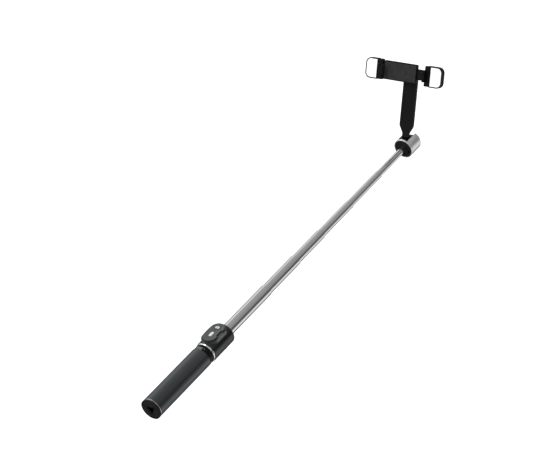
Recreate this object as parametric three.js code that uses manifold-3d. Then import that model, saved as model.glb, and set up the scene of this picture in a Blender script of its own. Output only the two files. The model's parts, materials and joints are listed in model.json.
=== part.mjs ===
// A telescopic hand stick for a phone. Its grip splits into three legs, a pull-out remote sits in the
// block above the grip, six tubes draw out one from another, and a tilting arm in the end cap carries a
// spring clamp with a fold-back light on each jaw.
// Millimetres, +Z along the pole, the remote and the arm on the -Y side, the clamp's jaws apart along X.
// The origin is on the pole's axis in the middle of the grip.
import * as THREE from "three";
import { mergeVertices } from "three/addons/utils/BufferGeometryUtils.js";
import Module from "manifold-3d";

const wasm = await Module();
wasm.setup();

// ---------- Driving dimensions ----------

// Clearances
const GAP = 0.3; // between pieces that meet and don't move
const RUN = 0.1; // radial play of a pin or a bush in its bore
const SEAT = 0.15; // radial play of a fixed tube in its bore
const OVER = 1; // extra length of a tool that cuts right through
const ROOT = 0.5; // overlap of two parts of one moulding

// Facets round a full turn
const PIN_FACETS = 16;
const BOLT_FACETS = 20;
const COIN_FACETS = 24;
const WASHER_FACETS = 28;
const BOSS_FACETS = 36;
const BODY_FACETS = 48;
const FINE_CURVE = 14; // facets of a plate's arc, where it shows

// Tubes of the pole, which set the sizes of the pieces around them
const TUBE_COUNT = 6;
const TUBE_LENGTH = 114;
const TUBE_RADIUS = 8.75; // outside of the widest moving tube
const TUBE_WALL = 0.45;
const TUBE_PLAY = 0.3; // radial, between one tube and the next
const TUBE_DRAWN = [96, 72, 64, 77, 80, 69]; // length of each tube in sight
const LAST_TUBE_RADIUS = TUBE_RADIUS - (TUBE_COUNT - 1) * (TUBE_WALL + TUBE_PLAY);
const BUSH_HEIGHT = 5;
const SLEEVE_WALL = 0.5;
const SLEEVE_LENGTH = 116;

// Grip: three legs around the tube bundle
const GRIP_RADIUS = TUBE_RADIUS + 6.25;
const LEG_COUNT = 3;
const LEG_LENGTH = 106;
const LEG_WALL = 3.8;
const LEG_SEAM = 0.6; // gap between two closed legs
const FOOT_HEIGHT = 2.6;
const FOOT_FLAT = 4.2; // from the pole's axis to a foot's inner flat
const FOOT_TONGUE_DEPTH = 8;
const FOOT_TONGUE_WALL = 2.2;
const LUG_WIDTH = 8;
const LUG_LENGTH = 4.3; // from the leg's top to the pin
const LUG_ROOT = 6; // overlap of the lug with the leg
const LEG_PIN_RADIUS = 1;
const LEG_PIN_LENGTH = 12.4;
const FOOT_TONGUE_SIDE = 2; // clear of the leg's seam

// Hub that carries the legs, and the bright ring above it
const HUB_RADIUS = GRIP_RADIUS - 0.6;
const HUB_HEIGHT = 8.4;
const HUB_NECK_RADIUS = GRIP_RADIUS - 3;
const HUB_NECK_DEPTH = 2.2; // part of the neck that enters the block
const RING_RADIUS = GRIP_RADIUS + 0.2;
const RING_HEIGHT = 3;

// Block with the remote
const BLOCK_RADIUS = GRIP_RADIUS + 0.5;
const BLOCK_HEIGHT = 43.6;
const BLOCK_TOP_ROUND = 3;
const BLOCK_TOP_STEPS = 5; // facets of that round
const GUIDE_RING_RADIUS = TUBE_RADIUS + 1.85;
const GUIDE_RING_PLAY = 0.2; // radial, round the widest tube
const GUIDE_RING_HEIGHT = 2.4;
const SCREW_OFFSET = BLOCK_RADIUS - 3.1; // across, from the pole's axis
const SCREW_HEAD_RADIUS = 1.7;
const SCREW_HEAD_HEIGHT = 1.6;
const SCREW_SHANK_RADIUS = 0.95;
const SCREW_REACH = 5.5; // into the front shell
const SCREW_HEAD_SEAT = 4.6; // behind the split plane

// Remote
const REMOTE_LENGTH = 37;
const REMOTE_WIDTH = 21;
const REMOTE_THICKNESS = 6;
const REMOTE_BACK_FACE = BLOCK_RADIUS - 4.1; // from the pole's axis
const REMOTE_SPLIT = 4.2; // height of the tray above its back face
const REMOTE_WALL = 1.2;
const REMOTE_FLOOR = 0.9; // under the cell
const REMOTE_FACE_WALL = 1;
const REMOTE_SEAM = 0.1; // over the tray, and over a button's flange
const CELL_PLAY = 0.2; // under and over the cell
const NOTCH_LENGTH = 12;
const NOTCH_DEPTH = 2;
const CRADLE_WALL = 1.6;
const CRADLE_FLOOR = 0.3; // play under the remote
const CRADLE_FACE = BLOCK_RADIUS - 0.1; // front of the cradle's rim, from the pole's axis
const GUARD_FACE = BLOCK_RADIUS + 0.2; // front of the walls beside the notches
const CELL_RADIUS = 6.25;
const CELL_THICKNESS = 1.6;
const BOARD_THICKNESS = 0.6;
const BUTTON_PROUD = 0.2;
const BUTTON_FLANGE = 0.5;
const SHUTTER_RADIUS = 4.6;
const SHUTTER_HEIGHT = 9.4; // above the remote's middle
const MODE_LENGTH = 9;
const MODE_WIDTH = 4.6;
const MODE_HEIGHT = -4.8;

// End cap
const CAP_RADIUS = 15.5;
const CAP_LENGTH = 27;
const CAP_WALL = 1.5;
const CAP_END_WALL = 1.4;
const CAP_RING = 3; // closed ring below the slot
const CORE_RECESS = 1.2;
const SOCKET_DEPTH = 6.2;
const SLOT_FLOOR = 8.7;
const SLOT_SLOPE = 4.5; // from the tilt pin out to the foot of the slot's slope
const SLOT_PLAY = 0.4; // behind the knuckle
const SOCKET_RADIUS = LAST_TUBE_RADIUS + SEAT;
const CORE_RADIUS = CAP_RADIUS - CAP_WALL - GAP;
const POCKET_RADIUS = 0.234 * (CORE_RADIUS - SOCKET_RADIUS);
const POCKET_CIRCLE = SOCKET_RADIUS + 0.485 * (CORE_RADIUS - SOCKET_RADIUS);
const POCKET_DEPTH = 3;
const POCKET_TURNS = [30, 90, 150]; // degrees round the pole, from +X

// Tilting arm
const PIVOT_OUT = LAST_TUBE_RADIUS + 2.5; // from the pole's axis
const PIVOT_UP = 13; // above the cap's lower face
const TILT_PIN_HALF = Math.sqrt(CORE_RADIUS ** 2 - PIVOT_OUT ** 2) - 1.86; // ends inside the core
const CAP_SLOT_HALF = TILT_PIN_HALF - 1.8;
const ARM_TILT = 63; // degrees from the pole's direction
const ARM_LENGTH = 101; // from the tilt pin to the clamp's swivel
const ARM_WIDTH = 23;
const ARM_THICKNESS = 4.4;
const ARM_FRONT = 6.4; // front face, from the tilt pin
const NECK_END = 11;
const TAPER_END = 22;
const KNUCKLE_RADIUS = 3.8;
const KNUCKLE_HALF = CAP_SLOT_HALF - 1.1;
const NECK_WIDTH = 2 * KNUCKLE_HALF - 2.9;
const NECK_TOE = [-3.4, -1.2]; // corners of the neck in side view, from the tilt pin
const NECK_HEEL = [2.6, 2];
const NECK_BACK_START = 9;
const NECK_FRONT_START = 5.5;
const BLADE_START = 5;
const TILT_PIN_RADIUS = 1.2;
const TILT_WASHER_RADIUS = 3.4;
const BOLT_RADIUS = 2;
const BOLT_HEAD_RADIUS = 3.7;
const BOLT_HEAD_HEIGHT = 1.2;
const BOLT_HEAD_SUNK = 0.1; // below the arm's back face
const SWIVEL_WASHER_RADIUS = 8;
const SWIVEL_WASHER_THICKNESS = 0.8;

// Clamp
const JAW_GAP = 70; // between the pads, for the phone's width
const PHONE_THICKNESS = 7.4;
const SWIVEL_OFFSET = 7.2; // from the jaws' middle to the swivel
const BOSS_RADIUS = 11;
const BOSS_HEIGHT = 1.6;
const CLAMP_HEIGHT = 28;
const CLAMP_THICKNESS = 5.3;
const CLAMP_WALL = 1.2;
const CLAMP_LEFT = -JAW_GAP / 2 - 0.6;
const CLAMP_RIGHT = JAW_GAP / 2 - 13.6;
const COVER_THICKNESS = 1;
const TONGUE_HEIGHT = 16;
const TONGUE_THICKNESS = 1.8;
const TONGUE_START = -8;
const TONGUE_PLAY = 0.7; // under the cover
const FIXED_TONGUE = 5.6; // part of the fixed jaw's tongue inside the body
const LUG_THICKNESS = 3;
const LUG_REACH = 4; // lug of the tongue that the spring pulls
const SPRING_RADIUS = 1.1;
const SPRING_WIRE = 0.25;
const SPRING_TURNS = 9;
const SPRING_OFFSET = 3; // from the body's wall
const TURN_STEPS = 8; // facets of one turn
const WIRE_CURVE = 3; // facets of half the wire
const POST_THICKNESS = 2; // post that holds the spring's fixed end
const POST_REACH = 2;
const POST_ROOT = 0.4;
const POST_HALF = 1;
const PAD_THICKNESS = 1.2;
const PAD_HEIGHT = 16.4;
const JAW_WALL = 2.6;
const JAW_HEIGHT = 17.2;
const HOOK_HEIGHT = 12;
const HOOK_OVERLAP = 3;
const HOOK_THICKNESS = 1.6;
const HOOK_PLAY = 0.4; // in front of the phone
const JAW_BLOCK_HEIGHT = 30;

// Lights
const LIGHT_HINGE_OUT = JAW_GAP / 2 + 6.2; // from the jaws' middle
const LIGHT_INNER = LIGHT_HINGE_OUT + 3.4;
const JAW_BLOCK_OUTER = LIGHT_HINGE_OUT + 2.9;
const LIGHT_WIDTH = 21;
const LIGHT_HEIGHT = 31;
const LIGHT_THICKNESS = 8;
const LIGHT_CORNER = 8.5;
const LIGHT_WALL = 1.4;
const LIGHT_BACK_WALL = 1.2;
const DIFFUSER_THICKNESS = 1.5;
const DIFFUSER_RECESS = 0.2;
const EAR_RADIUS = 2.3;
const EAR_HEIGHT = 5;
const EAR_ROOM = 0.9; // between an ear's round and the jaw's block
const HINGE_RELIEF = 1; // between the jaw's root and an ear
const ROOT_BACK = 1.8; // from the light's back to the jaw's root
const BARREL_RADIUS = 2.2;
const BARREL_PLAY = 0.4; // at each end
const BARREL_WEB = 2.4;
const LIGHT_PIN_RADIUS = 1;
const LIGHT_BUTTON_LENGTH = 7.4;
const LIGHT_BUTTON_WIDTH = 2.2;
const LIGHT_BUTTON_CAP = 1.6;
const LIGHT_BUTTON_FLANGE = 0.6;
const LIGHT_BUTTON_FLANGE_LONG = 0.8; // reach past the cap
const LIGHT_BUTTON_FLANGE_WIDE = 0.6;
const LIGHT_BUTTON_SUNK = 0.1; // below the light's lower face
const LIGHT_BUTTON_OFFSET = 2; // from the light's middle towards its hinge

// ---------- Places worked out from the sizes ----------

// Heights run up from the feet's end faces.
const legBottom = FOOT_HEIGHT + GAP;
const legTop = legBottom + LEG_LENGTH;
const hubBottom = legTop + GAP;
const hubTop = hubBottom + HUB_HEIGHT;
const ringBottom = hubTop + GAP;
const blockBottom = ringBottom + RING_HEIGHT + GAP;
const blockTop = blockBottom + BLOCK_HEIGHT;
const blockMiddle = (blockBottom + blockTop) / 2;
const capBottom = blockTop + TUBE_DRAWN.reduce((sum, drawn) => sum + drawn, 0);
const gripMiddle = legTop / 2;

const sleeveInner = TUBE_RADIUS + TUBE_PLAY;
const sleeveOuter = sleeveInner + SLEEVE_WALL;
const poleBore = sleeveOuter + SEAT;
const lugInner = poleBore + GAP;
const lugOuter = HUB_RADIUS;
const legPinOut = (lugInner + lugOuter) / 2;
const lugRound = (lugOuter - lugInner) / 2;
const legPinUp = legTop + LUG_LENGTH;
const tiltAngle = THREE.MathUtils.degToRad(ARM_TILT);

// Depths behind the arm's front, counted forward from the tilt pin
const washerFront = ARM_FRONT + GAP + SWIVEL_WASHER_THICKNESS;
const bossBack = washerFront + GAP;
const clampBack = bossBack + BOSS_HEIGHT;
const clampFront = clampBack + CLAMP_THICKNESS;
const phoneBack = clampFront + GAP;
const phoneFront = phoneBack + PHONE_THICKNESS;
const tongueFront = clampFront - COVER_THICKNESS - TONGUE_PLAY;
const tongueBack = tongueFront - TONGUE_THICKNESS;
const padInner = JAW_GAP / 2;
const jawInner = padInner + PAD_THICKNESS + GAP;
const lightBack = clampBack - GAP;
const lightFront = lightBack + LIGHT_THICKNESS;

// ---------- Solid helpers ----------

// A closed geometry as a solid that can be cut and joined.
function solidOf(geometry) {
  const bare = new THREE.BufferGeometry();
  const loose = geometry.index ? geometry.toNonIndexed() : geometry;
  bare.setAttribute("position", loose.getAttribute("position"));
  const merged = mergeVertices(bare, 1e-4);
  const mesh = new wasm.Mesh({
    numProp: 3,
    vertProperties: merged.getAttribute("position").array,
    triVerts: new Uint32Array(merged.index.array),
  });
  return new wasm.Manifold(mesh);
}

function geometryOf(solid) {
  const mesh = solid.getMesh();
  const geometry = new THREE.BufferGeometry();
  geometry.setAttribute("position", new THREE.BufferAttribute(mesh.vertProperties, mesh.numProp));
  geometry.setIndex(new THREE.BufferAttribute(mesh.triVerts, 1));
  return geometry;
}

function cut(base, ...tools) {
  return geometryOf(tools.reduce((left, tool) => left.subtract(solidOf(tool)), solidOf(base)));
}

function join(...pieces) {
  return geometryOf(pieces.map(solidOf).reduce((whole, piece) => whole.add(piece)));
}

function common(first, second) {
  return geometryOf(solidOf(first).intersect(solidOf(second)));
}

// ---------- Shape helpers ----------

// A piece turned about the pole's axis. Its outline lists [radius, height] points, anticlockwise.
function turned(outline, segments = 30) {
  const points = outline.map(([radius, height]) => new THREE.Vector2(radius, height));
  const closed = outline[0][0] > 0 || outline[outline.length - 1][0] > 0;
  if (closed) points.push(points[0].clone());
  return new THREE.LatheGeometry(points, segments).rotateX(Math.PI / 2);
}

function ring(inner, outer, low, high, segments) {
  return turned([[inner, low], [outer, low], [outer, high], [inner, high]], segments);
}

function rod(radius, low, high, segments) {
  return turned([[0, low], [radius, low], [radius, high], [0, high]], segments);
}

// Turned pieces and rods lie along Z: these two lay them along X, or along Y.
const alongX = (geometry) => geometry.rotateY(Math.PI / 2);
const alongY = (geometry) => geometry.rotateX(-Math.PI / 2);

function plate(shape, low, high, curveSegments = 10) {
  const options = { depth: high - low, bevelEnabled: false, curveSegments };
  return new THREE.ExtrudeGeometry(shape, options).translate(0, 0, low);
}

// A plate drawn in X and Z and standing to the front, from one depth to a deeper one.
function frontPlate(shape, near, far, curveSegments) {
  return plate(shape, near, far, curveSegments).rotateX(Math.PI / 2);
}

// A plate drawn in Y and Z, as seen from +X, with its thickness centred on X.
function sidePlate(shape, width) {
  return plate(shape, -width / 2, width / 2).rotateY(Math.PI / 2).rotateX(Math.PI / 2);
}

function box(x0, x1, y0, y1, z0, z1) {
  const geometry = new THREE.BoxGeometry(x1 - x0, y1 - y0, z1 - z0);
  return geometry.translate((x0 + x1) / 2, (y0 + y1) / 2, (z0 + z1) / 2);
}

// An upright pill, centred at a height.
function pill(length, width, middle = 0) {
  const straight = (length - width) / 2;
  const shape = new THREE.Shape();
  shape.absarc(0, middle + straight, width / 2, 0, Math.PI);
  shape.absarc(0, middle - straight, width / 2, Math.PI, 2 * Math.PI);
  return shape;
}

function polygon(points) {
  return new THREE.Shape(points.map(([x, y]) => new THREE.Vector2(x, y)));
}

// Part of a ring, centred on the -Y direction, with straight sides that leave half a seam.
function sector(inner, outer, halfSeam) {
  const span = Math.PI / LEG_COUNT;
  const middle = -Math.PI / 2;
  const outerSpan = span - Math.asin(halfSeam / outer);
  const innerSpan = span - Math.asin(halfSeam / inner);
  const shape = new THREE.Shape();
  shape.absarc(0, 0, outer, middle - outerSpan, middle + outerSpan, false);
  shape.absarc(0, 0, inner, middle + innerSpan, middle - innerSpan, true);
  return shape;
}

// ---------- Materials and nodes ----------

const LOOKS = {
  graphite: { color: 0x3a4244, roughness: 0.35, metalness: 0.8 },
  rubber: { color: 0x16171a, roughness: 0.85, metalness: 0 },
  blackGloss: { color: 0x1d1f20, roughness: 0.2, metalness: 0 },
  blackSatin: { color: 0x232526, roughness: 0.5, metalness: 0 },
  remote: { color: 0x424a4a, roughness: 0.5, metalness: 0 },
  white: { color: 0xf2f2f0, roughness: 0.4, metalness: 0 },
  steel: { color: 0xb4b6b8, roughness: 0.25, metalness: 1 },
  silver: { color: 0xa2a4a4, roughness: 0.35, metalness: 0.9 },
  chrome: { color: 0xdcdddf, roughness: 0.1, metalness: 1 },
  acetal: { color: 0xd8d6cc, roughness: 0.5, metalness: 0 },
  board: { color: 0x1f5a33, roughness: 0.6, metalness: 0 },
  diffuser: { color: 0xf6f7f4, roughness: 0.3, metalness: 0 },
};

const stick = new THREE.Group();
stick.position.z = -gripMiddle;

function node(name, geometry, look, parent = stick) {
  const mesh = new THREE.Mesh(geometry, new THREE.MeshStandardMaterial(LOOKS[look]));
  mesh.name = name;
  parent.add(mesh);
  return mesh;
}

// ---------- Legs ----------

function legGeometry() {
  const inner = GRIP_RADIUS - LEG_WALL;
  const wall = plate(sector(inner, GRIP_RADIUS, LEG_SEAM / 2), legBottom, legTop);
  const lug = new THREE.Shape();
  lug.moveTo(-lugOuter, legTop - LUG_ROOT);
  lug.lineTo(-lugInner, legTop - LUG_ROOT);
  lug.absarc(-legPinOut, legPinUp, lugRound, 0, Math.PI, false);
  const pinBore = alongX(rod(LEG_PIN_RADIUS + RUN, -LUG_WIDTH, LUG_WIDTH, PIN_FACETS));
  pinBore.translate(0, -legPinOut, legPinUp);
  return cut(join(wall, sidePlate(lug, LUG_WIDTH)), pinBore);
}

// A foot closes its leg's end, and its inner flat makes one side of the three-cornered hollow.
function footGeometry() {
  const span = Math.PI / LEG_COUNT;
  const halfSeam = LEG_SEAM / 2;
  const outerSpan = span - Math.asin(halfSeam / GRIP_RADIUS);
  const across = FOOT_FLAT * Math.tan(span) - halfSeam / Math.cos(span);
  const sole = new THREE.Shape();
  sole.moveTo(across, -FOOT_FLAT);
  sole.lineTo(-across, -FOOT_FLAT);
  sole.absarc(0, 0, GRIP_RADIUS, -Math.PI / 2 - outerSpan, -Math.PI / 2 + outerSpan, false);
  const tongueOuter = GRIP_RADIUS - LEG_WALL - GAP;
  const tongue = sector(tongueOuter - FOOT_TONGUE_WALL, tongueOuter, FOOT_TONGUE_SIDE);
  const tonguePlate = plate(tongue, FOOT_HEIGHT / 2, FOOT_HEIGHT + FOOT_TONGUE_DEPTH);
  return join(plate(sole, 0, FOOT_HEIGHT), tonguePlate);
}

function legPinGeometry() {
  const pin = alongX(rod(LEG_PIN_RADIUS, -LEG_PIN_LENGTH / 2, LEG_PIN_LENGTH / 2, PIN_FACETS));
  return pin.translate(0, -legPinOut, legPinUp);
}

for (let leg = 0; leg < LEG_COUNT; leg += 1) {
  const side = new THREE.Group();
  side.rotation.z = (leg * 2 * Math.PI) / LEG_COUNT;
  stick.add(side);
  node(`leg_${leg + 1}`, legGeometry(), "graphite", side);
  node(`foot_${leg + 1}`, footGeometry(), "rubber", side);
  node(`leg_pin_${leg + 1}`, legPinGeometry(), "steel", side);
}

// ---------- Hub and ring ----------

function hubGeometry() {
  const body = turned([
    [poleBore, hubBottom],
    [HUB_RADIUS, hubBottom],
    [HUB_RADIUS, hubTop],
    [HUB_NECK_RADIUS, hubTop],
    [HUB_NECK_RADIUS, blockBottom + HUB_NECK_DEPTH],
    [poleBore, blockBottom + HUB_NECK_DEPTH],
  ]);
  const slotTop = legPinUp + lugRound + GAP;
  const halfSlot = LUG_WIDTH / 2 + GAP;
  const tools = [];
  for (let leg = 0; leg < LEG_COUNT; leg += 1) {
    const turn = (leg * 2 * Math.PI) / LEG_COUNT;
    const slot = box(-halfSlot, halfSlot, -HUB_RADIUS - OVER, -poleBore + OVER, hubBottom - OVER, slotTop);
    const boreHalf = LEG_PIN_LENGTH / 2 + GAP;
    const bore = alongX(rod(LEG_PIN_RADIUS + RUN, -boreHalf, boreHalf, PIN_FACETS));
    bore.translate(0, -legPinOut, legPinUp);
    tools.push(slot.rotateZ(turn), bore.rotateZ(turn));
  }
  return cut(body, ...tools);
}

node("leg_hub", hubGeometry(), "blackSatin");
const ringTop = ringBottom + RING_HEIGHT;
node("hub_ring", ring(HUB_NECK_RADIUS + GAP, RING_RADIUS, ringBottom, ringTop, BODY_FACETS), "chrome");

// ---------- Block ----------

function remoteOutline(offset) {
  return pill(REMOTE_LENGTH + 2 * offset, REMOTE_WIDTH + 2 * offset, blockMiddle);
}

function blockBody() {
  const outline = [[poleBore, blockBottom], [BLOCK_RADIUS, blockBottom]];
  for (let step = 0; step <= BLOCK_TOP_STEPS; step += 1) {
    const angle = (step / BLOCK_TOP_STEPS) * (Math.PI / 2);
    const radius = BLOCK_RADIUS - BLOCK_TOP_ROUND * (1 - Math.cos(angle));
    outline.push([radius, blockTop - BLOCK_TOP_ROUND * (1 - Math.sin(angle))]);
  }
  outline.push([poleBore, blockTop]);
  return cut(turned(outline, BODY_FACETS), ...poleRoom());
}

// Room for the pole, the hub's neck and the guide ring.
function poleRoom() {
  return [
    rod(poleBore, blockBottom - OVER, blockTop + OVER),
    rod(HUB_NECK_RADIUS + GAP, blockBottom - OVER, blockBottom + HUB_NECK_DEPTH + GAP),
    rod(GUIDE_RING_RADIUS + SEAT, blockTop - GUIDE_RING_HEIGHT - SEAT, blockTop + OVER),
  ];
}

function screwRoom(side) {
  const x = side * SCREW_OFFSET;
  const head = alongY(rod(SCREW_HEAD_RADIUS + GAP, SCREW_HEAD_SEAT, BLOCK_RADIUS, PIN_FACETS));
  const shank = alongY(rod(SCREW_SHANK_RADIUS + RUN, -SCREW_REACH - GAP, BLOCK_RADIUS, PIN_FACETS));
  return [head.translate(x, 0, blockMiddle), shank.translate(x, 0, blockMiddle)];
}

function frontShellGeometry() {
  const deep = REMOTE_BACK_FACE + REMOTE_THICKNESS + OVER;
  const half = box(-deep, deep, -deep, -GAP / 2, blockBottom - OVER, blockTop + OVER);
  const rim = frontPlate(remoteOutline(GAP + CRADLE_WALL), sleeveOuter, CRADLE_FACE);
  const guardIn = REMOTE_WIDTH / 2 - NOTCH_DEPTH + 2 * GAP;
  const guardOut = REMOTE_WIDTH / 2 + GAP + CRADLE_WALL;
  const guardHalf = NOTCH_LENGTH / 2 - GAP;
  const low = blockMiddle - guardHalf;
  const high = blockMiddle + guardHalf;
  const guards = [
    box(guardIn, guardOut, -GUARD_FACE, -sleeveOuter, low, high),
    box(-guardOut, -guardIn, -GUARD_FACE, -sleeveOuter, low, high),
  ];
  const pocket = frontPlate(remoteOutline(GAP), REMOTE_BACK_FACE - CRADLE_FLOOR, deep);
  const shell = cut(join(common(blockBody(), half), rim), pocket);
  return cut(join(shell, ...guards), ...poleRoom(), ...screwRoom(-1), ...screwRoom(1));
}

function rearShellGeometry() {
  const deep = BLOCK_RADIUS + OVER;
  const half = box(-deep, deep, GAP / 2, deep, blockBottom - OVER, blockTop + OVER);
  return cut(common(blockBody(), half), ...screwRoom(-1), ...screwRoom(1));
}

function screwGeometry(side) {
  const headTop = SCREW_HEAD_SEAT + GAP + SCREW_HEAD_HEIGHT;
  const screw = turned([
    [0, -SCREW_REACH],
    [SCREW_SHANK_RADIUS, -SCREW_REACH],
    [SCREW_SHANK_RADIUS, SCREW_HEAD_SEAT + GAP],
    [SCREW_HEAD_RADIUS, SCREW_HEAD_SEAT + GAP],
    [SCREW_HEAD_RADIUS, headTop],
    [0, headTop],
  ], PIN_FACETS);
  return alongY(screw).translate(side * SCREW_OFFSET, 0, blockMiddle);
}

node("block_front_shell", frontShellGeometry(), "blackGloss");
node("block_rear_shell", rearShellGeometry(), "blackGloss");
node("block_screw_left", screwGeometry(-1), "steel");
node("block_screw_right", screwGeometry(1), "steel");
const guideBore = TUBE_RADIUS + GUIDE_RING_PLAY;
const guideRing = ring(guideBore, GUIDE_RING_RADIUS, blockTop - GUIDE_RING_HEIGHT, blockTop);
node("guide_ring", guideRing, "blackSatin");
const sleeveTop = blockTop - GUIDE_RING_HEIGHT - GAP;
node("pole_sleeve", ring(sleeveInner, sleeveOuter, sleeveTop - SLEEVE_LENGTH, sleeveTop), "steel");

// ---------- Remote ----------

// Depths inside the remote are counted forward from its back face.
const cellBack = REMOTE_FLOOR + CELL_PLAY;
const boardBack = cellBack + CELL_THICKNESS + CELL_PLAY;
const faceInner = REMOTE_THICKNESS - REMOTE_FACE_WALL;

// A plate of the remote between two depths above its back face.
function remotePlate(shape, near, far, curveSegments) {
  return frontPlate(shape, REMOTE_BACK_FACE + near, REMOTE_BACK_FACE + far, curveSegments);
}

function notches() {
  const inner = REMOTE_WIDTH / 2 - NOTCH_DEPTH;
  const low = blockMiddle - NOTCH_LENGTH / 2;
  const high = blockMiddle + NOTCH_LENGTH / 2;
  const deep = REMOTE_BACK_FACE + REMOTE_THICKNESS + OVER;
  return [
    box(inner, REMOTE_WIDTH, -deep, -REMOTE_BACK_FACE + OVER, low, high),
    box(-REMOTE_WIDTH, -inner, -deep, -REMOTE_BACK_FACE + OVER, low, high),
  ];
}

const pocketInset = -(NOTCH_DEPTH + REMOTE_WALL);

function remoteTrayGeometry() {
  const pocket = remotePlate(remoteOutline(pocketInset), REMOTE_FLOOR, REMOTE_SPLIT + OVER);
  return cut(remotePlate(remoteOutline(0), 0, REMOTE_SPLIT, FINE_CURVE), pocket, ...notches());
}

function remoteFaceGeometry() {
  const pocket = remotePlate(remoteOutline(pocketInset), REMOTE_SPLIT, faceInner);
  const deep = REMOTE_THICKNESS + OVER;
  const shutterHole = remotePlate(shutterOutline(GAP), faceInner - OVER, deep, FINE_CURVE);
  const modeHole = remotePlate(modeOutline(GAP), faceInner - OVER, deep);
  const faceBack = REMOTE_SPLIT + REMOTE_SEAM;
  const face = remotePlate(remoteOutline(0), faceBack, REMOTE_THICKNESS, FINE_CURVE);
  return cut(face, pocket, shutterHole, modeHole, ...notches());
}

function shutterOutline(offset) {
  const shape = new THREE.Shape();
  shape.absarc(0, blockMiddle + SHUTTER_HEIGHT, SHUTTER_RADIUS + offset, 0, 2 * Math.PI);
  return shape;
}

function modeOutline(offset) {
  return pill(MODE_LENGTH + 2 * offset, MODE_WIDTH + 2 * offset, blockMiddle + MODE_HEIGHT);
}

function buttonGeometry(outline) {
  const top = REMOTE_THICKNESS + BUTTON_PROUD;
  const flangeFront = faceInner - REMOTE_SEAM;
  const flangeBack = flangeFront - BUTTON_FLANGE;
  const stem = remotePlate(outline(0), flangeBack, top, FINE_CURVE);
  return join(stem, remotePlate(outline(2 * GAP), flangeBack, flangeFront, FINE_CURVE));
}

node("remote_tray", remoteTrayGeometry(), "remote");
node("remote_face", remoteFaceGeometry(), "remote");
const cell = alongY(rod(CELL_RADIUS, -cellBack - CELL_THICKNESS, -cellBack, COIN_FACETS));
node("remote_cell", cell.translate(0, -REMOTE_BACK_FACE, blockMiddle + MODE_HEIGHT / 2), "steel");
const boardOutline = remoteOutline(pocketInset - GAP);
node("remote_board", remotePlate(boardOutline, boardBack, boardBack + BOARD_THICKNESS), "board");
node("shutter_button", buttonGeometry(shutterOutline), "remote");
node("mode_button", buttonGeometry(modeOutline), "white");

// ---------- Pole ----------

const capGroup = new THREE.Group();
capGroup.position.z = capBottom;
stick.add(capGroup);

let drawnTop = blockTop;
let outerTubeBore = sleeveInner;
for (let tube = 0; tube < TUBE_COUNT; tube += 1) {
  drawnTop += TUBE_DRAWN[tube];
  const outside = outerTubeBore - TUBE_PLAY;
  const inside = outside - TUBE_WALL;
  const last = tube === TUBE_COUNT - 1;
  const top = last ? drawnTop + CORE_RECESS + SOCKET_DEPTH - GAP : drawnTop;
  const bottom = drawnTop - TUBE_LENGTH;
  const bushTop = bottom - RUN;
  node(`tube_${tube + 1}`, ring(inside, outside, bottom, top), "steel");
  const bush = ring(inside, outerTubeBore - RUN, bushTop - BUSH_HEIGHT, bushTop);
  node(`tube_bush_${tube + 1}`, bush, "acetal");
  outerTubeBore = inside;
}

// ---------- End cap ----------

function capShellGeometry() {
  const inner = CAP_RADIUS - CAP_WALL;
  const cup = turned([
    [inner, 0],
    [CAP_RADIUS, 0],
    [CAP_RADIUS, CAP_LENGTH],
    [0, CAP_LENGTH],
    [0, CAP_LENGTH - CAP_END_WALL],
    [inner, CAP_LENGTH - CAP_END_WALL],
  ], BODY_FACETS);
  const slotBack = PIVOT_OUT + ARM_FRONT - ARM_THICKNESS - GAP;
  const half = CAP_SLOT_HALF;
  return cut(cup, box(-half, half, -CAP_RADIUS - OVER, -slotBack, CAP_RING, CAP_LENGTH + OVER));
}

function capCoreGeometry() {
  const top = CAP_LENGTH - CAP_END_WALL - GAP;
  const body = rod(CORE_RADIUS, CORE_RECESS, top);
  const socket = rod(SOCKET_RADIUS, CORE_RECESS - OVER, CORE_RECESS + SOCKET_DEPTH);
  const back = -(PIVOT_OUT - KNUCKLE_RADIUS - SLOT_PLAY);
  const front = -CAP_RADIUS - OVER;
  const slot = sidePlate(polygon([
    [front, CAP_RING + GAP],
    [-PIVOT_OUT - SLOT_SLOPE, CAP_RING + GAP],
    [back, SLOT_FLOOR],
    [back, CAP_LENGTH],
    [front, CAP_LENGTH],
  ]), 2 * CAP_SLOT_HALF);
  const boreHalf = TILT_PIN_HALF + GAP;
  const pinBore = alongX(rod(TILT_PIN_RADIUS + RUN, -boreHalf, boreHalf, PIN_FACETS));
  const tools = [socket, slot, pinBore.translate(0, -PIVOT_OUT, PIVOT_UP)];
  for (const turn of POCKET_TURNS) {
    const angle = THREE.MathUtils.degToRad(turn);
    const pocket = rod(POCKET_RADIUS, CORE_RECESS - OVER, CORE_RECESS + POCKET_DEPTH, PIN_FACETS);
    tools.push(pocket.translate(POCKET_CIRCLE * Math.cos(angle), POCKET_CIRCLE * Math.sin(angle), 0));
  }
  return cut(body, ...tools);
}

function tiltWasherGeometry(side) {
  const near = KNUCKLE_HALF + SEAT;
  const far = CAP_SLOT_HALF - SEAT;
  const washer = ring(TILT_PIN_RADIUS + RUN, TILT_WASHER_RADIUS, near, far, BOLT_FACETS);
  return alongX(washer).rotateZ(side > 0 ? 0 : Math.PI);
}

node("cap_shell", capShellGeometry(), "silver", capGroup);
node("cap_core", capCoreGeometry(), "blackSatin", capGroup);

// ---------- Arm ----------

// The arm's own frame has its origin in the middle of the tilt pin and +Z along the arm.
const armGroup = new THREE.Group();
armGroup.position.set(0, -PIVOT_OUT, PIVOT_UP);
armGroup.rotation.x = tiltAngle;
capGroup.add(armGroup);

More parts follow.
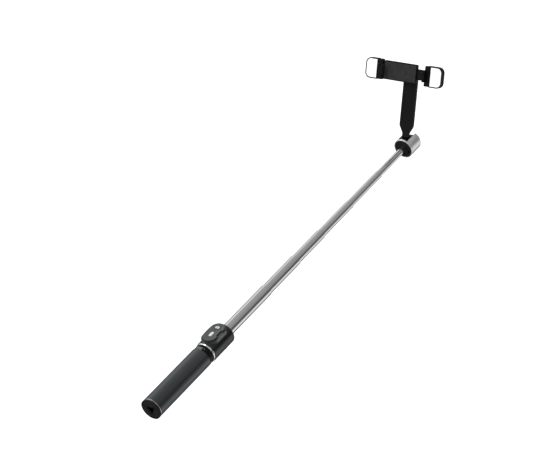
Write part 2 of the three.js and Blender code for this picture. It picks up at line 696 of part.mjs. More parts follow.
const tiltPin = alongX(rod(TILT_PIN_RADIUS, -TILT_PIN_HALF, TILT_PIN_HALF, PIN_FACETS));
node("tilt_pin", tiltPin, "steel", armGroup);
node("tilt_washer_left", tiltWasherGeometry(-1), "acetal", armGroup);
node("tilt_washer_right", tiltWasherGeometry(1), "acetal", armGroup);

function armGeometry() {
  const outline = new THREE.Shape();
  outline.moveTo(NECK_WIDTH / 2, BLADE_START);
  outline.lineTo(NECK_WIDTH / 2, NECK_END);
  outline.lineTo(ARM_WIDTH / 2, TAPER_END);
  outline.absarc(0, ARM_LENGTH, ARM_WIDTH / 2, 0, Math.PI, false);
  outline.lineTo(-ARM_WIDTH / 2, TAPER_END);
  outline.lineTo(-NECK_WIDTH / 2, NECK_END);
  outline.lineTo(-NECK_WIDTH / 2, BLADE_START);
  const back = ARM_FRONT - ARM_THICKNESS;
  const blade = frontPlate(outline, back, ARM_FRONT, FINE_CURVE);
  const neck = sidePlate(polygon([
    NECK_TOE,
    NECK_HEEL,
    [-back, NECK_BACK_START],
    [-back, NECK_END],
    [-ARM_FRONT, NECK_END],
    [-ARM_FRONT, NECK_FRONT_START],
  ]), NECK_WIDTH);
  const knuckle = alongX(rod(KNUCKLE_RADIUS, -KNUCKLE_HALF, KNUCKLE_HALF, WASHER_FACETS));
  const pinBore = alongX(rod(TILT_PIN_RADIUS + RUN, -CAP_RADIUS, CAP_RADIUS, PIN_FACETS));
  const boltBore = alongY(rod(BOLT_RADIUS + RUN, -ARM_FRONT - OVER, 0, BOLT_FACETS));
  const seatDepth = BOLT_HEAD_SUNK + BOLT_HEAD_HEIGHT + GAP;
  const headSeat = alongY(rod(BOLT_HEAD_RADIUS + GAP, -back - seatDepth, 0, COIN_FACETS));
  return cut(
    join(blade, neck, knuckle),
    pinBore,
    boltBore.translate(0, 0, ARM_LENGTH),
    headSeat.translate(0, 0, ARM_LENGTH),
  );
}

node("arm", armGeometry(), "blackSatin", armGroup);

// ---------- Clamp ----------

// The clamp's frame is the arm's, moved to the swivel's axis.
const clampGroup = new THREE.Group();
clampGroup.position.z = ARM_LENGTH;
armGroup.add(clampGroup);

const swivelBore = BOLT_RADIUS + RUN;
const swivelWasher = ring(swivelBore, SWIVEL_WASHER_RADIUS, -washerFront, -ARM_FRONT - GAP, WASHER_FACETS);
node("swivel_washer", alongY(swivelWasher), "acetal", clampGroup);

function boltGeometry() {
  const back = ARM_FRONT - ARM_THICKNESS;
  const headBack = -back - BOLT_HEAD_SUNK;
  const headFront = headBack - BOLT_HEAD_HEIGHT;
  const tip = -clampBack - CLAMP_WALL + GAP;
  const bolt = turned([
    [0, tip],
    [BOLT_RADIUS, tip],
    [BOLT_RADIUS, headFront],
    [BOLT_HEAD_RADIUS, headFront],
    [BOLT_HEAD_RADIUS, headBack],
    [0, headBack],
  ], BOLT_FACETS);
  return alongY(bolt);
}

node("swivel_bolt", boltGeometry(), "steel", clampGroup);

// Everything the clamp carries is placed from the jaws' middle.
const gripGroup = new THREE.Group();
gripGroup.position.x = -SWIVEL_OFFSET;
clampGroup.add(gripGroup);

const halfClamp = CLAMP_HEIGHT / 2;
const cavityBack = clampBack + CLAMP_WALL;

function clampBodyGeometry() {
  const block = box(CLAMP_LEFT, CLAMP_RIGHT, -clampFront, -clampBack, -halfClamp, halfClamp);
  const boss = alongY(rod(BOSS_RADIUS, -clampBack - ROOT, -bossBack, BOSS_FACETS));
  const inset = CLAMP_WALL;
  const cavity = box(
    CLAMP_LEFT + inset, CLAMP_RIGHT - inset,
    -clampFront - OVER, -cavityBack,
    -halfClamp + inset, halfClamp - inset,
  );
  const halfMouth = TONGUE_HEIGHT / 2 + GAP;
  const mouth = box(
    CLAMP_LEFT - OVER, CLAMP_RIGHT + OVER,
    -tongueFront - GAP, -tongueBack + GAP,
    -halfMouth, halfMouth,
  );
  const bore = alongY(rod(swivelBore, -cavityBack - OVER, 0, BOLT_FACETS));
  boss.translate(SWIVEL_OFFSET, 0, 0);
  bore.translate(SWIVEL_OFFSET, 0, 0);
  const post = box(
    springStart - POST_THICKNESS, springStart - GAP,
    -cavityBack - POST_REACH, -cavityBack + POST_ROOT,
    springUp - POST_HALF, springUp + POST_HALF,
  );
  return join(cut(join(block, boss), cavity, mouth, bore), post);
}

// The spring lies beside the tongue and pulls its lug towards the fixed jaw.
const springStart = CLAMP_LEFT + CLAMP_WALL + SPRING_OFFSET;
const springEnd = TONGUE_START - GAP;
const springUp = TONGUE_HEIGHT / 2 + LUG_REACH / 2;
const springDeep = (tongueFront + tongueBack) / 2;

class Coil extends THREE.Curve {
  getPoint(t, target = new THREE.Vector3()) {
    const angle = 2 * Math.PI * SPRING_TURNS * t;
    const x = springStart + (springEnd - springStart) * t;
    const radius = SPRING_RADIUS - SPRING_WIRE;
    return target.set(x, radius * Math.cos(angle) - springDeep, radius * Math.sin(angle) + springUp);
  }
}

function springGeometry() {
  const wire = new THREE.Shape();
  wire.absarc(0, 0, SPRING_WIRE, 0, 2 * Math.PI);
  const steps = SPRING_TURNS * TURN_STEPS;
  const options = { extrudePath: new Coil(), steps, curveSegments: WIRE_CURVE };
  return new THREE.ExtrudeGeometry(wire, options);
}

function jawGeometry(side, tongueEnd) {
  const halfBlock = JAW_BLOCK_HEIGHT / 2;
  const hingeFace = lightBack + EAR_RADIUS + EAR_ROOM;
  const across = (near, far) => (side > 0 ? [near, far] : [-far, -near]);
  const hingeBlock = box(
    ...across(jawInner, JAW_BLOCK_OUTER),
    -lightFront, -hingeFace,
    -halfBlock, halfBlock,
  );
  const root = box(
    ...across(jawInner, LIGHT_HINGE_OUT - EAR_RADIUS - HINGE_RELIEF),
    -hingeFace - OVER, -lightBack - ROOT_BACK,
    -halfBlock, halfBlock,
  );
  const wallBack = lightFront - OVER;
  const wallFront = phoneFront + HOOK_PLAY + HOOK_THICKNESS;
  const halfWall = JAW_HEIGHT / 2;
  const jawOuter = jawInner + JAW_WALL;
  const wall = box(...across(jawInner, jawOuter), -wallFront, -wallBack, -halfWall, halfWall);
  const hookInner = padInner - HOOK_OVERLAP;
  const halfHook = HOOK_HEIGHT / 2;
  const hook = box(
    ...across(hookInner, jawOuter),
    -wallFront, -phoneFront - HOOK_PLAY,
    -halfHook, halfHook,
  );
  const halfTongue = TONGUE_HEIGHT / 2;
  const tongue = box(
    ...(side > 0 ? [tongueEnd, jawInner + OVER] : [-jawInner - OVER, tongueEnd]),
    -tongueFront, -tongueBack,
    -halfTongue, halfTongue,
  );
  const pieces = [hingeBlock, root, wall, hook, tongue];
  for (const end of [-1, 1]) {
    const low = end > 0 ? halfBlock - EAR_HEIGHT : -halfBlock;
    const ear = rod(EAR_RADIUS, low, low + EAR_HEIGHT, BOLT_FACETS);
    ear.translate(side * LIGHT_HINGE_OUT, -lightBack, 0);
    const web = box(
      ...across(LIGHT_HINGE_OUT - EAR_RADIUS, LIGHT_HINGE_OUT + EAR_RADIUS),
      -hingeFace - OVER, -lightBack,
      low, low + EAR_HEIGHT,
    );
    pieces.push(ear, web);
  }
  if (side > 0) {
    const lugHigh = halfTongue + LUG_REACH;
    pieces.push(box(tongueEnd, tongueEnd + LUG_THICKNESS, -tongueFront, -tongueBack, 0, lugHigh));
  }
  const bore = rod(LIGHT_PIN_RADIUS + RUN, -halfBlock - OVER, halfBlock + OVER, PIN_FACETS);
  return cut(join(...pieces), bore.translate(side * LIGHT_HINGE_OUT, -lightBack, 0));
}

function padGeometry(side) {
  const near = side > 0 ? padInner : -padInner - PAD_THICKNESS;
  return box(near, near + PAD_THICKNESS, -phoneFront, -phoneBack, -PAD_HEIGHT / 2, PAD_HEIGHT / 2);
}

node("clamp_body", clampBodyGeometry(), "blackSatin", gripGroup);
const coverInset = CLAMP_WALL + GAP;
const coverGeometry = box(
  CLAMP_LEFT + coverInset, CLAMP_RIGHT - coverInset,
  -clampFront, -clampFront + COVER_THICKNESS,
  -halfClamp + coverInset, halfClamp - coverInset,
);
node("clamp_cover", coverGeometry, "rubber", gripGroup);
node("clamp_spring", springGeometry(), "steel", gripGroup);
node("jaw_left", jawGeometry(-1, CLAMP_LEFT + FIXED_TONGUE), "blackSatin", gripGroup);
node("jaw_right", jawGeometry(1, TONGUE_START), "blackSatin", gripGroup);
node("jaw_pad_left", padGeometry(-1), "rubber", gripGroup);
node("jaw_pad_right", padGeometry(1), "rubber", gripGroup);

// ---------- Lights ----------

// A light's outline: straight beside its hinge, with round corners on the outer side.
function lightOutline(inset) {
  const half = LIGHT_HEIGHT / 2 - inset;
  const inner = LIGHT_INNER + inset;
  const outer = LIGHT_INNER + LIGHT_WIDTH - inset;
  const round = LIGHT_CORNER - inset;
  const shape = new THREE.Shape();
  shape.moveTo(inner, half);
  shape.lineTo(inner, -half);
  shape.absarc(outer - round, -half + round, round, -Math.PI / 2, 0, false);
  shape.absarc(outer - round, half - round, round, 0, Math.PI / 2, false);
  return shape;
}

const lightButtonX = LIGHT_INNER + LIGHT_WIDTH / 2 - LIGHT_BUTTON_OFFSET;
const lightButtonDeep = (lightBack + LIGHT_BACK_WALL + lightFront - DIFFUSER_THICKNESS) / 2;

function lightHousingGeometry() {
  const body = frontPlate(lightOutline(0), lightBack, lightFront);
  const hollow = frontPlate(lightOutline(LIGHT_WALL), lightBack + LIGHT_BACK_WALL, lightFront + OVER);
  const halfBarrel = JAW_BLOCK_HEIGHT / 2 - EAR_HEIGHT - BARREL_PLAY;
  const barrel = rod(BARREL_RADIUS, -halfBarrel, halfBarrel, BOLT_FACETS);
  barrel.translate(LIGHT_HINGE_OUT, -lightBack, 0);
  const web = box(
    LIGHT_HINGE_OUT, LIGHT_INNER + ROOT,
    -lightBack - BARREL_WEB, -lightBack,
    -halfBarrel, halfBarrel,
  );
  const bore = rod(LIGHT_PIN_RADIUS + RUN, -halfBarrel - OVER, halfBarrel + OVER, PIN_FACETS);
  bore.translate(LIGHT_HINGE_OUT, -lightBack, 0);
  const halfLength = LIGHT_BUTTON_LENGTH / 2 + GAP;
  const halfWidth = LIGHT_BUTTON_WIDTH / 2 + GAP;
  const buttonHole = box(
    lightButtonX - halfLength, lightButtonX + halfLength,
    -lightButtonDeep - halfWidth, -lightButtonDeep + halfWidth,
    -LIGHT_HEIGHT / 2 - OVER, -LIGHT_HEIGHT / 2 + LIGHT_WALL + OVER,
  );
  return cut(join(cut(body, hollow), barrel, web), bore, buttonHole);
}

function lightButtonGeometry() {
  const outer = -LIGHT_HEIGHT / 2 + LIGHT_BUTTON_SUNK;
  const wallInner = -LIGHT_HEIGHT / 2 + LIGHT_WALL;
  const flangeLow = wallInner + SEAT;
  const halfLength = LIGHT_BUTTON_LENGTH / 2;
  const halfWidth = LIGHT_BUTTON_WIDTH / 2;
  const cap = box(
    lightButtonX - halfLength, lightButtonX + halfLength,
    -lightButtonDeep - halfWidth, -lightButtonDeep + halfWidth,
    outer, outer + LIGHT_BUTTON_CAP,
  );
  const flangeLength = halfLength + LIGHT_BUTTON_FLANGE_LONG;
  const flangeWidth = halfWidth + LIGHT_BUTTON_FLANGE_WIDE;
  const flange = box(
    lightButtonX - flangeLength, lightButtonX + flangeLength,
    -lightButtonDeep - flangeWidth, -lightButtonDeep + flangeWidth,
    flangeLow, flangeLow + LIGHT_BUTTON_FLANGE,
  );
  return join(cap, flange);
}

const halfLightPin = JAW_BLOCK_HEIGHT / 2 - GAP;
const panelInset = LIGHT_WALL + GAP;
const diffuserFront = lightFront - DIFFUSER_RECESS;
const boardLow = lightBack + LIGHT_BACK_WALL + GAP;

for (const [name, turn] of [["right", 0], ["left", Math.PI]]) {
  // The left light is the right one turned over about the arm's forward axis.
  const lightGroup = new THREE.Group();
  lightGroup.rotation.y = turn;
  gripGroup.add(lightGroup);
  const panel = lightOutline(panelInset);
  const diffuser = frontPlate(panel, diffuserFront - DIFFUSER_THICKNESS, diffuserFront);
  const board = frontPlate(panel, boardLow, boardLow + BOARD_THICKNESS);
  const pin = rod(LIGHT_PIN_RADIUS, -halfLightPin, halfLightPin, PIN_FACETS);
  pin.translate(LIGHT_HINGE_OUT, -lightBack, 0);
  node(`light_housing_${name}`, lightHousingGeometry(), "blackSatin", lightGroup);
  node(`light_board_${name}`, board, "board", lightGroup);
  node(`light_diffuser_${name}`, diffuser, "diffuser", lightGroup);
  node(`light_pin_${name}`, pin, "steel", lightGroup);
  node(`light_button_${name}`, lightButtonGeometry(), "blackSatin", lightGroup);
}

export default stick;
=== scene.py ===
# %% [markdown]
# # A telescopic stick for a phone
# The stick has a grip that splits into three legs, a block with a pull-out remote, six steel
# tubes, an end cap, a tilting arm and a sprung clamp with a fold-back light on each jaw.
# The mechanical frame is loaded first. It says where every piece is and what it moves with, so
# each detailed piece below is drawn in millimetres and then set down where the frame says.

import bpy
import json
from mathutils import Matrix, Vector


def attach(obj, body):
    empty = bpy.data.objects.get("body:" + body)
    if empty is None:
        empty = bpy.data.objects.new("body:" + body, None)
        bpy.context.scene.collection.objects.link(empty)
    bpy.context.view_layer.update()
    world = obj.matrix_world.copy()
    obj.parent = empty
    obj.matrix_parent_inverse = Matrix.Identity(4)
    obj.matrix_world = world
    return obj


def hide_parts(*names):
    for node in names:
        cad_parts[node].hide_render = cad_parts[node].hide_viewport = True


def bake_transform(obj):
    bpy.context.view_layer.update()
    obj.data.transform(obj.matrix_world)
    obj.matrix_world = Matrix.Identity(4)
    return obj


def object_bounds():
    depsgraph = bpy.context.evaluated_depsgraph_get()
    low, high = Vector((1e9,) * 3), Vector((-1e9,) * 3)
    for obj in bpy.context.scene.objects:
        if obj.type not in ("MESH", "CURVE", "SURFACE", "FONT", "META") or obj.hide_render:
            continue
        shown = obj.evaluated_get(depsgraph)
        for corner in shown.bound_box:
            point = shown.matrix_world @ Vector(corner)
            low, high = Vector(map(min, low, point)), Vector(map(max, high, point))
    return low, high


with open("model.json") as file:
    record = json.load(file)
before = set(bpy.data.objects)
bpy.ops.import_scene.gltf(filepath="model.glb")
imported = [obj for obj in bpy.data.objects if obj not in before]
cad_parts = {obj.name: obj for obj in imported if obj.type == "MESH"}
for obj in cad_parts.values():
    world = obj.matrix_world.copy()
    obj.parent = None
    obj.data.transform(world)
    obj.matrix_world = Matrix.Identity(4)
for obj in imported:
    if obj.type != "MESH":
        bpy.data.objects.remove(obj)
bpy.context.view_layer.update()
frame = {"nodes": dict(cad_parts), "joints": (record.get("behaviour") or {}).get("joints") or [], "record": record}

import json
import math

import bmesh
import bpy
from mathutils import Matrix, Vector

record = frame["record"]
joints = {joint["name"]: joint for joint in frame["joints"]}
body_of = {node: body for body, nodes in record["behaviour"]["bodies"].items() for node in nodes}
print(len(frame["nodes"]), "pieces and", len(joints), "joints in the frame")

# %% [markdown]
# ## Places to measure from
# Everything on the pole stands upright, so the frame's own axes suit it. The arm and the clamp
# lean, so they get places of their own: X across, -Y out of the front, +Z along the arm. Both
# come from the joints' points, which keeps them right if the arm's rest angle changes. The grip's
# place is the clamp's, moved from the swivel to the middle between the two jaws.

# %% Three places and a rule to measure with
MM = 0.001
GAP = 0.3  # between pieces that meet or pass one another
SEAT = 0.15  # between pieces that plug into one another
OVER = 1.0  # how far a tool reaches past what it cuts
TUCK = 0.01  # keeps two faces of one moulding out of the same plane
POLE = Matrix.Identity(4)
tilt_point = Vector(joints["arm_tilt"]["pos_m"])
swivel_point = Vector(joints["clamp_swivel"]["pos_m"])
forward = Vector(joints["clamp_swivel"]["axis"]).normalized()
along = forward.cross(Vector((1, 0, 0)))
arm_length = (swivel_point - tilt_point).dot(along)


def leaning_place(origin):
    """The arm's axes, with their origin at a point on it."""
    place = Matrix((Vector((1, 0, 0)), -forward, along)).transposed().to_4x4()
    place.translation = origin
    return place


ARM = leaning_place(tilt_point)
CLAMP = leaning_place(tilt_point + along * arm_length)


def spread(node, place=POLE):
    """Lowest and highest corner of a frame piece along a place's axes, in millimetres."""
    inward = place.inverted()
    points = [inward @ vertex.co / MM for vertex in frame["nodes"][node].data.vertices]
    low = Vector([min(point[axis] for point in points) for axis in range(3)])
    high = Vector([max(point[axis] for point in points) for axis in range(3)])
    return low, high


left_pad_face = spread("jaw_pad_left", CLAMP)[1].x
right_pad_face = spread("jaw_pad_right", CLAMP)[0].x
jaw_middle = (left_pad_face + right_pad_face) / 2
GRIP = CLAMP @ Matrix.Translation((jaw_middle * MM, 0, 0))
LIGHT_RIGHT = GRIP
LIGHT_LEFT = GRIP @ Matrix.Rotation(math.pi, 4, "Y")
hinge_point = GRIP.inverted() @ Vector(joints["light_right_fold"]["pos_m"]) / MM
jaw_gap = right_pad_face - left_pad_face
print("arm length", round(arm_length / MM, 2), "mm, jaws open", round(jaw_gap, 1), "mm")

# %% [markdown]
# ## The camera
# The stick is seen from its foot end, a little from the right, and it runs away into the
# distance, so a long lens stands well back from it. The camera's axes also say where the studio's
# backdrop and lamps go, which is why it is made before them.

# %% Camera
CAMERA_POINT = Vector((1.2900, -1.3497, -1.1697))
CAMERA_LOOK = Vector((-0.5597, 0.5525, 0.6176)).normalized()
CAMERA_UP = Vector((-0.1872, -0.8103, 0.5553))
LENS_LENGTH = 112.0
FILM_WIDTH = 36.0
NEAREST, FURTHEST = 0.05, 100.0

camera_right = CAMERA_LOOK.cross(CAMERA_UP).normalized()
camera_up = camera_right.cross(CAMERA_LOOK).normalized()
camera_axes = Matrix((camera_right, camera_up, -CAMERA_LOOK)).transposed()
camera = bpy.data.objects.new("camera", bpy.data.cameras.new("camera"))
camera.data.lens = LENS_LENGTH
camera.data.sensor_width = FILM_WIDTH
camera.data.clip_start = NEAREST
camera.data.clip_end = FURTHEST
camera.matrix_world = Matrix.Translation(CAMERA_POINT) @ camera_axes.to_4x4()
bpy.context.collection.objects.link(camera)
bpy.context.scene.camera = camera
bpy.context.scene.view_settings.view_transform = "Standard"
print("camera", round(CAMERA_POINT.length, 2), "m from the grip")

# %% [markdown]
# ## Shader maths
# A finish is a small graph of nodes. Written one node at a time it is hard to read, so `Wire`
# wraps a node's output and lets Python's operators add the Math nodes, and `Mixture.node` makes
# any other node from its type, its settings and its sockets.

# %% Wires and mixtures
class Wire:
    """An output socket that Python's operators can work on."""

    def __init__(self, mixture, socket):
        self.mixture = mixture
        self.socket = socket

    def maths(self, operation, first, second):
        sockets = {0: first, 1: second}
        return self.mixture.node("ShaderNodeMath", {"operation": operation}, sockets)

    def __add__(self, other):
        return self.maths("ADD", self, other)

    def __sub__(self, other):
        return self.maths("SUBTRACT", self, other)

    def __rsub__(self, other):
        return self.maths("SUBTRACT", other, self)

    def __mul__(self, other):
        return self.maths("MULTIPLY", self, other)

    __radd__ = __add__
    __rmul__ = __mul__


class Mixture:
    """A node graph that is being put together."""

    def __init__(self, tree):
        self.tree = tree
        tree.nodes.clear()

    def node(self, kind, settings=None, sockets=None, output=0):
        made = self.tree.nodes.new(kind)
        for setting, value in (settings or {}).items():
            if setting == "stops":
                self.set_stops(made.color_ramp, value)
            else:
                setattr(made, setting, value)
        for socket, value in (sockets or {}).items():
            self.feed(made.inputs[socket], value)
        return Wire(self, made.outputs[output]) if made.outputs else made

    def set_stops(self, ramp, stops):
        while len(ramp.elements) < len(stops):
            ramp.elements.new(0.5)
        for element, (position, level) in zip(ramp.elements, stops):
            element.position = position
            element.color = (level, level, level, 1)

    def feed(self, socket, value):
        if isinstance(value, Wire):
            self.tree.links.new(value.socket, socket)
        else:
            socket.default_value = value

    def mix(self, share, first, second):
        """A colour between two others."""
        sockets = {0: share, 6: first, 7: second}
        return self.node("ShaderNodeMix", {"data_type": "RGBA"}, sockets, output=2)

    def ramp(self, wire, stops, interpolation="LINEAR"):
        made = self.node("ShaderNodeValToRGB", {"stops": stops}, {"Fac": wire})
        made.socket.node.color_ramp.interpolation = interpolation
        return made


print("shader helpers ready")

# %% [markdown]
# ## Finishes
# Each finish starts from the same few things a real surface shows. `grain` is the texture the
# mould, the polishing wheel or the anodising bath leaves. `clouds` are slow changes of tone,
# from handling. `edges` finds convex edges, where paint and anodising wear thin first.

# %% What every finish is mixed from
class Finish(Mixture):
    """A material around one Principled shader. Even values go straight on the shader."""

    def __init__(self, name, **even):
        self.material = bpy.data.materials.new(name)
        self.material.use_nodes = True
        super().__init__(self.material.node_tree)
        self.shader = self.tree.nodes.new("ShaderNodeBsdfPrincipled")
        output = self.tree.nodes.new("ShaderNodeOutputMaterial")
        self.tree.links.new(self.shader.outputs["BSDF"], output.inputs["Surface"])
        for socket, value in even.items():
            self.shader.inputs[socket.replace("_", " ")].default_value = value
        point = self.node("ShaderNodeTexCoord", output="Object")
        in_mm = {0: point, "Scale": 1 / MM}
        self.point = self.node("ShaderNodeVectorMath", {"operation": "SCALE"}, in_mm)

    def coat(self, **changing):
        """Feeds the shader with what changes over the surface."""
        for socket, wire in changing.items():
            self.feed(self.shader.inputs[socket.replace("_", " ")], wire)
        return self.material

    def grain(self, per_mm, stretch=(1, 1, 1), detail=3.0):
        factors = {0: self.point, 1: stretch}
        stretched = self.node("ShaderNodeVectorMath", {"operation": "MULTIPLY"}, factors)
        sockets = {"Vector": stretched, "Scale": per_mm, "Detail": detail, "Roughness": 0.6}
        return self.node("ShaderNodeTexNoise", None, sockets)

    def clouds(self, size_mm, low=0.35, high=0.65):
        return self.ramp(self.grain(1 / size_mm, detail=4.0), [(low, 0), (high, 1)])

    def edges(self, start=0.51, full=0.58):
        crest = self.node("ShaderNodeNewGeometry", output="Pointiness")
        return self.ramp(crest, [(start, 0), (full, 1)])

    def bump(self, height, depth_mm, strength=1.0):
        sockets = {"Height": height, "Distance": depth_mm * MM, "Strength": strength}
        return self.node("ShaderNodeBump", None, sockets, output="Normal")


def shade(level, tint=(1, 1, 1)):
    """A colour from a brightness and a tint."""
    return (*[level * channel for channel in tint], 1)


print("finish class ready")

# %% [markdown]
# The legs are aluminium, bead blasted and anodised graphite: a metal whose grain is far too fine
# to see as dots but which spreads a highlight wide. The end cap has the same treatment in silver.
# Both wear to brighter metal on their edges. The legs' lower rims are turned back to bare metal
# after anodising, so the graphite gives way to a bright line there.

# %% Anodised metals
def anodised(name, body_tone, worn_tone, roughness, bright_below=None):
    finish = Finish(name, Metallic=0.85, Coat_Weight=0.25, Coat_Roughness=0.3)
    blast = finish.grain(5.0, detail=2.0)
    handling = finish.clouds(14)
    tone = finish.mix(handling * 0.35, body_tone, shade(1.25, body_tone[:3]))
    colour = finish.mix(finish.edges() * 0.75, tone, worn_tone)
    rough = roughness + handling * 0.06 + blast * 0.05
    if bright_below is not None:
        height = finish.node("ShaderNodeSeparateXYZ", None, {"Vector": finish.point}, output="Z")
        machined = height.maths("LESS_THAN", height, bright_below)
        colour = finish.mix(machined, colour, shade(0.75))
        rough = rough - machined * 0.12
    return finish.coat(Base_Color=colour, Roughness=rough, Normal=finish.bump(blast, 0.006, 0.5))


LEG_CHAMFER = 0.55
leg_low = spread("leg_1")[0]
graphite = anodised(
    "graphite", shade(0.062, (0.88, 1.0, 1.04)), shade(0.16, (1, 1, 1.02)), 0.30,
    bright_below=leg_low.z + LEG_CHAMFER,
)
silver = anodised("satin_silver", shade(0.74, (0.99, 1, 0.99)), shade(0.85), 0.32)
print("graphite and silver ready")

# %% [markdown]
# The tubes are drawn stainless steel, polished on a wheel that leaves very fine rings round the
# tube. Noise that is stretched flat gives those rings. Long smudges from hands dull the polish.
# The collar under the block is chromed, which is the same idea with hardly any texture.

# %% Polished metals
def polished(name, tone, roughness, ring_depth):
    finish = Finish(name, Metallic=1.0)
    rings = finish.grain(2.0, (0.05, 0.05, 6.0), detail=5.0)
    smudge = finish.clouds(18, 0.45, 0.75)
    colour = finish.mix(smudge * 0.3, tone, shade(0.9, tone[:3]))
    rough = roughness + rings * 0.05 + smudge * 0.08
    return finish.coat(Base_Color=colour, Roughness=rough, Normal=finish.bump(rings, ring_depth, 0.6))


steel = polished("polished_steel", shade(0.62, (1.0, 1.0, 1.01)), 0.13, 0.0015)
chrome = polished("chrome", shade(0.84, (0.99, 1, 1.01)), 0.05, 0.0005)
bright_steel = polished("bright_steel", shade(0.55), 0.22, 0.003)
print("steel and chrome ready")

# %% [markdown]
# The plastics differ in how their moulds were textured. The block's mould was polished, so the
# block is glossy. The remote and the arm have a fine spark-eroded texture, and the bushes are
# plain acetal.
# Voronoi cells give the small domes of an eroded mould better than smooth noise does.

# %% Moulded plastics
def moulded(name, tone, roughness, texture_depth, texture_mm=0.22, wear=0.35, worn=None, **even):
    finish = Finish(name, Metallic=0.0, **even)
    cells = finish.node(
        "ShaderNodeTexVoronoi", {"feature": "SMOOTH_F1"},
        {"Vector": finish.point, "Scale": 1 / texture_mm, "Smoothness": 0.6},
    )
    handling = finish.clouds(11)
    tired = finish.mix(handling * 0.3, tone, shade(1.3, tone[:3]))
    colour = finish.mix(finish.edges() * wear, tired, worn or shade(2.6, tone[:3]))
    rough = roughness + handling * 0.08 - finish.edges() * 0.1
    return finish.coat(Base_Color=colour, Roughness=rough, Normal=finish.bump(cells, texture_depth, 0.7))


gloss_black = moulded(
    "gloss_black", shade(0.009, (0.92, 1, 1.03)), 0.2, 0.0008, 0.6, 0.2,
    Coat_Weight=0.3, Coat_Roughness=0.06, Specular_IOR_Level=0.4,
)
satin_black = moulded("satin_black", shade(0.0045, (1, 1, 1.05)), 0.44, 0.012, Specular_IOR_Level=0.14)
hub_black = moulded("hub_black", shade(0.004), 0.45, 0.012, Specular_IOR_Level=0.14)
core_black = moulded("core_black", shade(0.008), 0.42, 0.010, Specular_IOR_Level=0.22)
remote_grey = moulded("remote_grey", shade(0.055, (0.88, 1.02, 1.0)), 0.38, 0.010)
white_plastic = moulded("white_plastic", shade(0.86, (1, 1, 0.98)), 0.32, 0.004, 0.3, 0.2, shade(0.95))
acetal = moulded(
    "acetal", shade(0.66, (1, 0.985, 0.94)), 0.42, 0.006, 0.4, 0.2, shade(0.8),
    Subsurface_Weight=0.1,
)
print("plastics ready")

# %% [markdown]
# Rubber never shines: its bloom scatters light at grazing angles, which sheen stands for. The
# light's diffuser is milky acrylic over small lamps, smooth and a little translucent, with a fine
# prism texture. Its white is its own, and its extra brightness is painted glow: an emission that
# stands in for light falling on it. The circuit boards are hidden, and keep a simple solder-mask
# pattern for whoever takes the piece apart.

# %% Rubber, diffuser and board
def rubber(name, tone, texture_mm):
    finish = Finish(
        name, Metallic=0.0, Sheen_Weight=0.04, Sheen_Roughness=0.5, Specular_IOR_Level=0.25,
    )
    pores = finish.grain(1 / texture_mm, detail=4.0)
    dust = finish.clouds(7, 0.45, 0.8)
    colour = finish.mix(dust * 0.5, tone, shade(2.4, tone[:3]))
    normal = finish.bump(pores, 0.03, 0.8)
    return finish.coat(Base_Color=colour, Roughness=0.62 + pores * 0.2, Normal=normal)


def milky():
    # The emission paints a glow on the diffuser that stands in for light falling on it and keeps it white.
    finish = Finish(
        "diffuser", Metallic=0.0, Subsurface_Weight=0.35, Subsurface_Scale=0.002,
        Coat_Weight=0.2, Coat_Roughness=0.25, Emission_Strength=0.55,
    )
    sockets = {"Vector": finish.point, "Scale": 1.4}
    prisms = finish.node("ShaderNodeTexVoronoi", {"feature": "F1"}, sockets)
    yellowing = finish.clouds(9)
    colour = finish.mix(yellowing * 0.35, shade(0.90, (1, 1, 0.99)), shade(0.87, (1, 0.995, 0.97)))
    normal = finish.bump(prisms, 0.03, 0.5)
    rough = 0.3 + prisms * 0.15
    return finish.coat(Base_Color=colour, Emission_Color=colour, Roughness=rough, Normal=normal)


def solder_mask():
    finish = Finish("circuit_board", Metallic=0.0)
    tracks = finish.node(
        "ShaderNodeTexBrick", None,
        {
            "Vector": finish.point, "Scale": 0.4, "Mortar Size": 0.03,
            "Color1": shade(0), "Color2": shade(0), "Mortar": shade(1),
        },
    )
    colour = finish.mix(tracks, (0.015, 0.11, 0.045, 1), (0.04, 0.22, 0.09, 1))
    rough = 0.35 + finish.clouds(4) * 0.1
    return finish.coat(Base_Color=colour, Roughness=rough, Normal=finish.bump(tracks, 0.04))


foot_rubber = rubber("foot_rubber", shade(0.010, (1, 1, 1.03)), 0.35)
grip_rubber = rubber("grip_rubber", shade(0.035, (1, 1, 1)), 0.3)
glowing_diffuser = milky()
board_green = solder_mask()
print(len(bpy.data.materials), "materials with the frame's own")

# %% [markdown]
# ## The maker's tools
# Most pieces are moulded or machined: an outline pushed to a thickness, or a profile turned
# round an axis, then cut and joined, with every edge broken by a small radius. These tools do
# just that. Edges without a radius would catch no light and look drawn.

# %% Outlines
def arc(centre, radius, start, end, steps):
    """Points along an arc, between two angles in degrees."""
    angles = [math.radians(start + (end - start) * step / steps) for step in range(steps + 1)]
    return [(centre[0] + radius * math.cos(a), centre[1] + radius * math.sin(a)) for a in angles]


def rounded(corners, radius, steps=8):
    """A closed outline with its corners rounded. A corner may carry its own radius."""
    outline = []
    for index, corner in enumerate(corners):
        here = Vector(corner[:2])
        back = (Vector(corners[index - 1][:2]) - here).normalized()
        on = (Vector(corners[(index + 1) % len(corners)][:2]) - here).normalized()
        own = corner[2] if len(corner) > 2 else radius
        if own <= 0:
            outline.append(tuple(here))
            continue
        half = back.angle(on) / 2
        centre = here + (back + on).normalized() * (own / math.sin(half))
        first = here + back * (own / math.tan(half)) - centre
        last = here + on * (own / math.tan(half)) - centre
        sweep = first.angle_signed(last)
        for step in range(steps + 1):
            turn = Matrix.Rotation(-sweep * step / steps, 2)
            outline.append(tuple(centre + turn @ first))
    return outline


def oblong(x0, x1, y0, y1, radius, steps=8):
    return rounded([(x0, y0), (x1, y0), (x1, y1), (x0, y1)], radius, steps)


